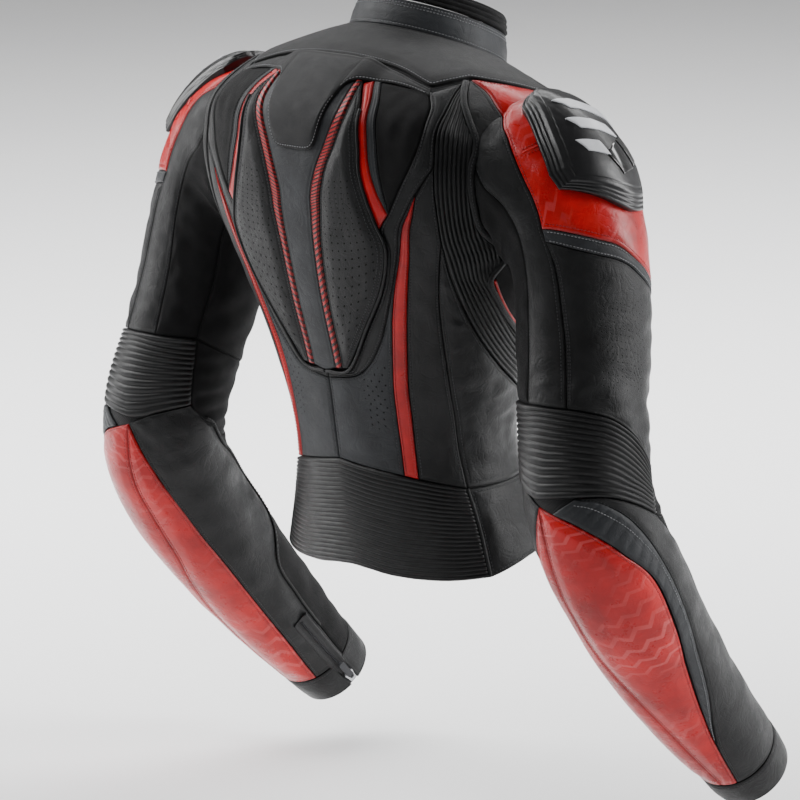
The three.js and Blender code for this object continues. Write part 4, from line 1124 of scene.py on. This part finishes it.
# ---------------------------------------------------------------- red shoulder and sleeve head
PAD = 9.0


def shoulder_height(g):
    """The armour pad under the red shoulder is highest at the top of the armhole."""
    pad = PAD * np.exp(-((g.b - TOP_LEVEL) / 22) ** 2 - ((g.a - 252) / 46) ** 2)
    pad = pad * ease(g.eu0 / 16) * ease(g.et / 18)
    return 0.6 + pad + seam(np.minimum(g.eu0, g.et), 1.6) + 0.3 * noise(g.p, 24)


panel("shoulder_red", [[152, -9.5], [168, -8.5], [186, -8.2], [203, -8], [220, -8], [236, -8], [251, -9]],
      [behind_arm(-36), *[behind_arm(TOP_LEVEL - d) for d in (6, 2, 0)],
       *[before_arm(TOP_LEVEL - d) for d in (2, 7)], before_arm(-38)], RED, slot="red",
      start=shoulder_seam, sides="fs", thread=RED_THREAD, height=shoulder_height)
head_rear_tip, head_front_tip = [74, 99, "corner"], [-66, 146, "corner"]
head_rear = [[30, 0], [45, 26], [56, 42], [64, 57], [69, 74], head_rear_tip]
head_front = [[-33, 0], [-50, 38], [-60, 80], head_front_tip]
head_bottom = [head_rear_tip, [53, 105], [33, 108.5], [12, 112], [-16, 124], head_front_tip]


def head_height(g):
    pad = PAD * np.exp(-(g.b / 26) ** 2 - ((g.a + 4) / 34) ** 2) * ease(g.eu / 14)
    return (0.5 + pad + seam(np.minimum(g.eu, g.et1), 1.5) + dent(g.e, 3.4, 0.9, 0.45)
            + creases(g, 0.8, 42, 10, (1, 1, 1.3)))


panel("sleeve_head_red", head_rear, head_front, RED, "shoulder", end=head_bottom,
      slot="red", thread=RED_THREAD, sides="fte", height=head_height,
      gap=(0.4, 0.4, 0.1, 0.4), cell=(3.2, 3.2))
ridge = [[53, 49], [40, 52], [0, 54], [-44, 57]]
build = Build()
for beside in (-2.6, 2.6):
    stitch(build, *chart_line("sleeve", shifted(ridge, b=beside), 70, 1.1))
add_cord(build, "sleeve", ridge, 70, 0.6, 1.1)
place(build, "head_ridge", [PLAIN_RED, RED_THREAD], "shoulder")


# ---------------------------------------------------------------- hard shoulder cup
def cup_plate(g):
    """The lie of the cup over the sleeve: high on top of the shoulder, close at its lower end."""
    rim, crown = mix(15, 2, ease(2 * g.t)), mix(17, 5, ease(g.t))
    return 3.2 + mix(rim, crown, ease(3 * np.minimum(g.u, 1 - g.u)))


def cup_height(g):
    e = g.e
    steps = (1.4 * ease((e - 0.1) / 0.8) + 1.3 * ease((e - 4.2) / 0.7) + 1.1 * ease((e - 7.8) / 0.7)
             + 1.4 * ease((e - 11.0) / 3.0))
    cuts = dent(e, 3.7, 0.45, 1.0) + dent(e, 7.3, 0.45, 1.0) + dent(e, 10.7, 0.4, 0.8)
    contour = dent(e, 18.5, 0.5, 0.8)
    return cup_plate(g) - 2.2 + steps + cuts + contour


cup_from = [[-30, 8, "corner"], [-40, 22], [-46, 44], [-44, 72, "corner"], [-24, 93]]
cup_to = [[2, 6, "corner"], [24, 22, "corner"], [42, 50], [51, 72, "corner"], [50, 81]]
g = coons("sleeve", cup_from, cup_to, start=[[-30, 8], [-14, 6.5], [2, 6]],
          end=[[-24, 93], [0, 94], [25, 88], [50, 81]], even=(170, 150))
build = Build()
sheet_grid(build, g, cup_height, -1.2, roll=np.zeros(g.u.shape))
DEGREE = 0.9  # mm round the sleeve, under the cup


def cup_places(c, every=1):
    return np.stack([c.a[::every, ::every] * DEGREE, c.b[::every, ::every]], -1).reshape(-1, 2)


plate_places, plate_tops = cup_places(g, 2), (cup_plate(g) + 3.0)[::2, ::2].ravel()


def set_on_cup(frm, to, lift, roll, slot):
    """Adds a small flat patch at the height of the cup's plate below it."""
    c = coons("sleeve", frm, to, cell=(1.2, 1.2))
    weight = np.exp(-((cup_places(c)[:, None, :] - plate_places[None]) ** 2).sum(-1) / 2.2)
    height = ((weight * plate_tops).sum(1) / weight.sum(1)).reshape(c.u.shape) + lift
    sheet_grid(build, c, lambda c: height + seam(c.e, 0.8, roll), -4.0, slot=slot)


for frm, to in (([[14, 34], [-31, 43]], [[10, 43], [-35, 52]]), ([[20, 48], [-9, 54]], [[16, 56], [-13, 62]]),
                ([[25, 61.5], [9, 65]], [[21, 69], [5, 72.5]])):
    set_on_cup(frm, to, 1.3, 0.9, slot=1)
for frm, to in (([[9, 71], [-6, 65]], [[1, 80], [-13, 77]]), ([[-8, 64], [-17, 59]], [[-15, 76], [-23, 73]])):
    set_on_cup(frm, to, 1.2, 1.0, slot=2)
STUD_COLUMN, studs = 28, slice(18, 72, 3)
row = g.p[studs, STUD_COLUMN] + g.n[studs, STUD_COLUMN] * (cup_height(g)[studs, STUD_COLUMN] + 0.5)[:, None]
stitch(build, row, g.n[studs, STUD_COLUMN], 0, pitch=3.0, length=1.8, size=0.8)
place(build, "shoulder_cup", [CUP, SILVER, WINDOW], "upper_sleeve", slot="cup_plastic")

# ---------------------------------------------------------------- upper sleeve
SEAM_BACK = 146
ribs_tip = [63, 260, "corner"]
rear_seam = [head_rear_tip, [69, 130], [65.5, 172], [64, 217], ribs_tip]
outer_front = [head_front_tip, *[[-66, v] for v in (180, 213, 247)], [-66, 281, "corner"]]
ribs_outer_top = [ribs_tip, [45, 265], [21, 273], [-8, 292], [-32, 318, "corner"]]
strip_bottom = shifted(head_bottom, 0, 9)
panel("head_strip", head_bottom, strip_bottom, GREY, "elbow", thread=GREY_THREAD,
      height=lambda g: 0.5 + topstitched(g, 1.2, 0.2, 0.3), cell=(1.8, 3), gap=(0.3, 0.3, 0.4, 0.4))


def fine_field(g):
    return (g.a < 36) * (g.a > -12) * (g.b > 150) * (g.b < 240) * 1.0


def sleeve_folds(g):
    low = ease((g.b - 195) / 60)
    wave = noise(g.p * [0.7, 0.7, 2.0], 34)
    return topstitched(g, 1.4, 0.7) + (0.6 + 1.2 * low) * wave * ease(g.e / 12)


panel("sleeve_outer", [corner([74, 108]), *rear_seam[1:]], [corner([-66, 155]), *outer_front[1:]], FINE_HOLES,
      "elbow", start=strip_bottom, end=[*ribs_outer_top, outer_front[-1]],
      slot="black_leather", height=sleeve_folds, zone=fine_field, second="f")
inner_seam = [[SEAM_BACK, v] for v in (0, 38, 66, 95, 130, 172, 208, 243)]
ribs_rear_top = [[SEAM_BACK, 243, "corner"], [116, 249], [90, 254], ribs_tip]
leather_seam = [[76, 0], [86, 30], [92, 62], [97, 92], [100, 130], [102, 172], [104, 212],
                [106, 251, "corner"]]


def open_top(g):
    """The same grid, without a seam at the armhole."""
    g.e = np.minimum(g.eu, g.et1)
    return g


panel("sleeve_rear", leather_seam, [*head_rear, *rear_seam[1:]], BLACK, "shoulder",
      end=[leather_seam[-1], *ribs_rear_top[2:]], slot="black_leather",
      height=lambda g: sleeve_folds(open_top(g)), gap=(0.3, 0.4, 0.2, 0.4))
panel("sleeve_rear_stretch", inner_seam, leather_seam, STRETCH, "shoulder",
      end=[*ribs_rear_top[:2], leather_seam[-1]], slot="black_leather", sides="",
      gap=(0.6, 0.3, 0.2, 0.4),
      height=lambda g: seam(open_top(g).e, 1.0, 3) - 0.2 + creases(g, 1.2, 36, 10, (1, 1, 1.6)))
front_seam = [[327, 0], [310, 38], [301, 80], [294, 146, "corner"], *[[294, v] for v in (180, 213, 247)],
              [294, 281, "corner"]]
panel("sleeve_inner", inner_seam, front_seam, STRETCH, "shoulder",
      slot="stretch_cloth", sides="", gap=(0.6, 0.4, 0.2, 0.4),
      height=lambda g: seam(g.e, 1.0, 3) + creases(g, 1.2, 40, 14, (1, 1, 1.6)))

# ---------------------------------------------------------------- elbow
elbow_rear, elbow_front = [160, 308, "corner"], [336, 368, "corner"]
ribs_front = [-24, 368, "corner"]
ribs_bottom = [elbow_rear, [130, 320], [116, 326], [101, 330, "corner"], [66, 332], [30, 337], [2, 350],
               ribs_front]
panel("elbow_ribs", [*ribs_rear_top, *ribs_outer_top[1:]], ribs_bottom, RIBBED, "elbow",
      slot="black_leather", height=ribs(13, 2.4, "u", 0.07, 0.6), sides="", even=(96, 104), padded=0.7)
elbow_top = [[SEAM_BACK, 243], [183, 252.5], [220, 262], [257, 271.5], front_seam[-1], [328, 318, "corner"]]
elbow_bottom = [elbow_rear, [190, 342], [225, 368], [262, 382], [300, 384], elbow_front]
panel("elbow_inner", elbow_top, elbow_bottom, STRETCH, "elbow",
      slot="stretch_cloth", sides="",
      height=lambda g: seam(g.e, 1.0, 3) - 0.5 + creases(g, 1.6, 32, 12, (0.6, 0.6, 2.2)))

# ---------------------------------------------------------------- forearm
leaf_tip = [99, 336, "corner"]
leaf_front = [leaf_tip, [60, 354], [30, 378], [10, 412], [12, 470], [20, 520], [30, 580], [42, 645],
              [55, CUFF_START, "corner"]]
leaf_rear = [leaf_tip, [113, 356], [126, 378], [136, 412], [141, 470], [142, 520], [141, 580], [137, 645],
             [129, CUFF_START, "corner"]]
leaf_seam = [leaf_tip, [99, 362], [101, 388], [105, 420], [104, 470], [93, 514], [82, 568],
             [77, 630], [77, CUFF_START, "corner"]]
leaf_height = lambda g: 0.6 + topstitched(g, 1.7, 1.4) + creases(g, 0.35, 48, 12)
panel("leaf_front", leaf_front, leaf_seam, RED, "elbow", node="forearm_leaf", slot="red",
      thread=RED_THREAD, height=leaf_height, gap=(0.4, 0.2, 0.4, 0.4))
panel("leaf_rear", leaf_seam, leaf_rear, RED, "elbow", slot="red", thread=RED_THREAD,
      height=leaf_height, gap=(0.2, 0.4, 0.4, 0.4))
pad_front = [[60, 333, "corner"], [36, 340], [10, 362], [-6, 396], [-7, 452], [3, 519], [16, 575], [33, 618],
             [41, 640, "corner"]]
pad_rear = [[84, 342, "corner"], [60, 354], [30, 378], [10, 412], [10, 458], [17, 505], [24, 550], [33, 598],
            [42, 645, "corner"]]


def quilted(g):
    channel = np.abs(np.sin(np.pi * g.t * 26)) ** 0.5
    return 0.6 + seam(g.e, 1.4, 2.0) + 0.8 * channel * ease(g.eu / 4)


panel("forearm_pad", pad_front, pad_rear, GREY, "elbow", slot="grey_leather",
      height=quilted, thread=GREY_THREAD, sides="f", even=(210, 14), padded=0.6, gap=(0.3, 0.9, 0.5, 0.5))
forearm_front = [ribs_front, [-42, 396], [-58, 428], [-70, 462], [-76, 500], [-78, 550], [-78, 600],
                 [-78, 655], [-78, CUFF_START, "corner"]]
outer_rear = [[60, 332.5, "corner"], [36, 340], [10, 362], [-6, 396], [-7, 452], [3, 519], [16, 575],
              [41, 645], [55, CUFF_START, "corner"]]
panel("forearm_outer", forearm_front, outer_rear, BLACK, "elbow",
      start=[ribs_front, [2, 350], [30, 337], [60, 332.5, "corner"]],
      slot="black_leather", height=lambda g: folded(g, 46, 0.8, (1, 0.8, 1)))
rope = [elbow_rear, [178, 322], [190, 334], [212, 380], [230, 430], [240, 484], [226, 520],
        [190, 552], [184, 600], [182, 655], [180, CUFF_START, "corner"]]
rear_edge = [leaf_tip, [106, 345], [119, 366], [130, 390], [138, 436], [141, 484], [142, 520], [141.5, 552],
             [140, 600], [137, 652], [129, CUFF_START, "corner"]]


ZIP_DEGREES = 166


def zip_channel(g):
    """A shallow channel in which the cuff's slider runs."""
    return 3.4 * ease((g.b - 616) / 14) * (1 - ease((np.abs(g.a - ZIP_DEGREES) - 8) / 4))


panel("forearm_rear", rear_edge, rope, BLACK, "elbow", slot="black_leather", sides="f",
      start=[leaf_tip, [116, 326], [130, 320], elbow_rear], node="forearm_inner",
      height=lambda g: folded(g, 40, 1.1, (1, 0.7, 1.2)) - zip_channel(g))
stretch_front = [elbow_front, [325, 384], [316, 400], [306, 420], [299, 440], [290, 462], [286, 484],
                 [282, 540], [282, 600], [282, 655], [282, CUFF_START, "corner"]]
panel("forearm_stretch", rope, stretch_front, STRETCH, "elbow", slot="stretch_cloth", sides="",
      start=elbow_bottom,
      height=lambda g: seam(g.e, 1.0, 3) + creases(g, 1.0, 38, 12, (1, 0.8, 1.4)))
piping("rope_seam", BLACK, "elbow", rope[1:-1], 260, 0.5, 1.6, sides=10, twist=0.28)

# ---------------------------------------------------------------- cuff and its zip
SLIT = math.degrees(5 / CUFF_RADIUS)


def cuff_ring(along):
    return [[mix(ZIP_DEGREES + SLIT, ZIP_DEGREES + 360 - SLIT, k / 8), along] for k in range(9)]


def tape_height(g):
    """Two beads beside the teeth, which run out under the cuff band."""
    return -0.4 + 1.9 * np.exp(-((g.eu - 4) / 1.6) ** 2) * ease((CUFF_START - g.b) / 20 + 1)


panel("cuff_band", cuff_ring(CUFF_START), cuff_ring(CUFF_END), BLACK, "forearm",
      slot="stretch_cloth", rim=2.0, cell=(3, 3.4),
      height=lambda g: 0.9 + topstitched(g, 1.3, 0.4) + creases(g, 0.6, 34, 8))
build = Build()
tape_edges = [[[ZIP_DEGREES + side, v] for v in (628, CUFF_END - 2)] for side in (-14, 14)]
g = coons("sleeve", *tape_edges, cell=(2, 3))
sheet_grid(build, g, tape_height, 1.5)
place(build, "cuff_zip_tape", [TAPE], "forearm")


def teeth(build, chart, points, count, lift, half=1.3, slot=0):
    """Two rows of small interlocking blocks along a line."""
    p, n = chart_line(chart, points, count, lift)
    way = np.gradient(p, axis=0)
    way /= np.linalg.norm(way, axis=1, keepdims=True)
    side = np.cross(way, n)
    box = np.array([[x, y, z] for x in (-1, 1) for y in (-1, 1) for z in (-1, 1)], float)
    quads = np.array([[0, 1, 3, 2], [4, 6, 7, 5], [0, 4, 5, 1], [2, 3, 7, 6], [0, 2, 6, 4], [1, 5, 7, 3]])
    verts, faces = [], []
    for k in range(count):
        shift = side[k] * half * (0.55 if k % 2 else -0.55)
        verts.append(p[k] + shift + side[k] * box[:, :1] * half * 0.75 * (1 - 0.25 * (box[:, 2:] > 0))
                     + way[k] * box[:, 1:2] * 0.5 + n[k] * box[:, 2:] * 0.55)
        faces.append(quads + 8 * k)
    build.add(np.concatenate(verts), np.concatenate(faces), None, slot)


build = Build()
teeth(build, "sleeve", [[ZIP_DEGREES, 632], [ZIP_DEGREES, 744]], 86, 0.5)
place(build, "cuff_zip_teeth", [TEETH], "forearm")

# ---------------------------------------------------------------- front zip
zip_levels = [16, -8, -30, -60, -92, -126, -160, -198, -240, -275, -309, -345, -380, -412, -450,
              HEM_FRONT_LEVEL]


def zip_height(g):
    return 0.2 + 0.8 * ease(1 - np.abs(np.abs(g.a) - 8) / 3) + seam(g.eu, 0.8, 1.5) - 0.6 * (np.abs(g.a) < 3)


g = coons("front", [[-14, v] for v in zip_levels], [[14, v] for v in zip_levels], cell=(1.6, 3.2))
build = Build()
surface = sheet_grid(build, g, zip_height, 2.2)
stitch_edges(build, g, surface, "ft")
teeth(build, "front", [[0.01, v] for v in (14, *zip_levels[1:-1], -488)], 230, 0.9, 2.2, slot=2)
place(build, "front_zip", [TAPE, THREAD, TEETH], slot="zip_tape", paired=False)

# ---------------------------------------------------------------- lining
lining_levels = (20, -60, -140, -220, -300, -380, -450)
inner_edges = [[0, v] for v in (*lining_levels, -516)]
outer_edges = [[float(draft_girth(v)), v] for v in (*lining_levels, -489)]
build = Build()
g = coons("torso", inner_edges, outer_edges, cell=(7, 7), gap=(0, 0, 0.5, 3))
keep = g.p[..., 0] < ARMHOLE_X - 1.5
surface = g.p - g.n * 2.9
rows, cols = g.u.shape
faces = grid_faces(rows, cols)
faces = faces[keep.ravel()[faces].all(1)]
build.add(surface.reshape(-1, 3), faces, np.stack([g.a, g.b], -1).reshape(-1, 2))
place(build, "torso_lining", [LINING], slot="stretch_cloth")
for name, low, high, motion in (("upper_lining", 1, 272, "shoulder"), ("lower_lining", 272, 748, "elbow")):
    a, b = np.meshgrid(np.linspace(0, 360, 61), np.linspace(low, high, 60))
    p = sleeve(a, b)
    inward = unit(sleeve_axes(b)[0][..., :3] - p)
    build = Build()
    build.add((p + inward * 3.0).reshape(-1, 3), grid_faces(60, 61), np.stack([a, b], -1).reshape(-1, 2))
    place(build, name, [LINING], motion, slot="stretch_cloth")

# ---------------------------------------------------------------- carried CAD nodes
for node in ("front_zip_slider", "front_zip_pull", "cuff_slider_R", "cuff_slider_L", "cuff_pull_R",
             "cuff_pull_L"):
    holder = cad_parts[node].material_slots[0]
    holder.link = "OBJECT"
    holder.material = PULL if "pull" in node else METAL

# ---------------------------------------------------------------- stage
def stage_material():
    material, tree, bsdf = new_material("pale_floor")
    s = Shader(tree)
    tree.links.new(s.colours(s.ramp(s.noise(1.2, 2), 0.3, 0.7), (0.86, 0.86, 0.87), (0.88, 0.88, 0.88)),
                   bsdf.inputs["Base Color"])
    bsdf.inputs["Roughness"].default_value = 0.8
    return material


FLOOR_Z, BEND_START, BEND_RADIUS, HALF_WIDTH = -0.80, 3.0, 2.2, 14
turn = math.radians(-44)
profile = [(-9, FLOOR_Z), (BEND_START, FLOOR_Z)]
profile += [(BEND_START + BEND_RADIUS * math.sin(t), FLOOR_Z + BEND_RADIUS * (1 - math.cos(t)))
            for t in np.linspace(0.1, 1.5, 16)]
profile += [(BEND_START + BEND_RADIUS, 9.0)]
verts = np.array([[x * math.cos(turn) - y * math.sin(turn), x * math.sin(turn) + y * math.cos(turn), z]
                  for y, z in profile for x in (-HALF_WIDTH, HALF_WIDTH)]) / MM
faces = [[2 * k, 2 * k + 1, 2 * k + 3, 2 * k + 2] for k in range(len(profile) - 1)]
backdrop = mesh_object("backdrop", verts, faces, [stage_material()])

world = bpy.context.scene.world or bpy.data.worlds.new("world")
bpy.context.scene.world = world
world.use_nodes = True
world.node_tree.nodes["Background"].inputs[0].default_value = (1, 1, 1, 1)
world.node_tree.nodes["Background"].inputs[1].default_value = 0.13

TARGET = Vector((0, -0.042, -0.362))


def soft_light(name, azimuth, elevation, distance, size, power, target=TARGET):
    light = bpy.data.lights.new(name, "AREA")
    light.shape = "RECTANGLE"
    light.size, light.size_y = size
    light.energy = power
    obj = bpy.data.objects.new(name, light)
    a, e = math.radians(azimuth), math.radians(elevation)
    way = Vector((math.sin(a) * math.cos(e), -math.cos(a) * math.cos(e), math.sin(e)))
    obj.location = TARGET + way * distance
    obj.rotation_mode = "QUATERNION"
    obj.rotation_quaternion = (target - obj.location).to_track_quat("-Z", "Y")
    bpy.context.collection.objects.link(obj)


soft_light("key", -28, 50, 2.6, (1.5, 1.0), 35)
soft_light("right_rim", 128, 18, 2.4, (0.5, 1.9), 60)
soft_light("left_rim", -70, 22, 2.4, (0.5, 1.9), 46)
soft_light("front_fill", 40, 10, 3.4, (1.2, 1.2), 2)
soft_light("backdrop_light", 222, 50, 3.0, (5.2, 3.0), 400, TARGET + Vector((-2.6, 2.7, -0.44)))

camera_data = bpy.data.cameras.new("camera")
camera_data.lens, camera_data.sensor_width = 234, 36
camera = bpy.data.objects.new("camera", camera_data)
bpy.context.collection.objects.link(camera)
camera.location = (3.5422, -3.7101, 0.6569)
camera.rotation_mode = "QUATERNION"
camera.rotation_quaternion = (TARGET - camera.location).to_track_quat("-Z", "Y")
bpy.context.scene.camera = camera
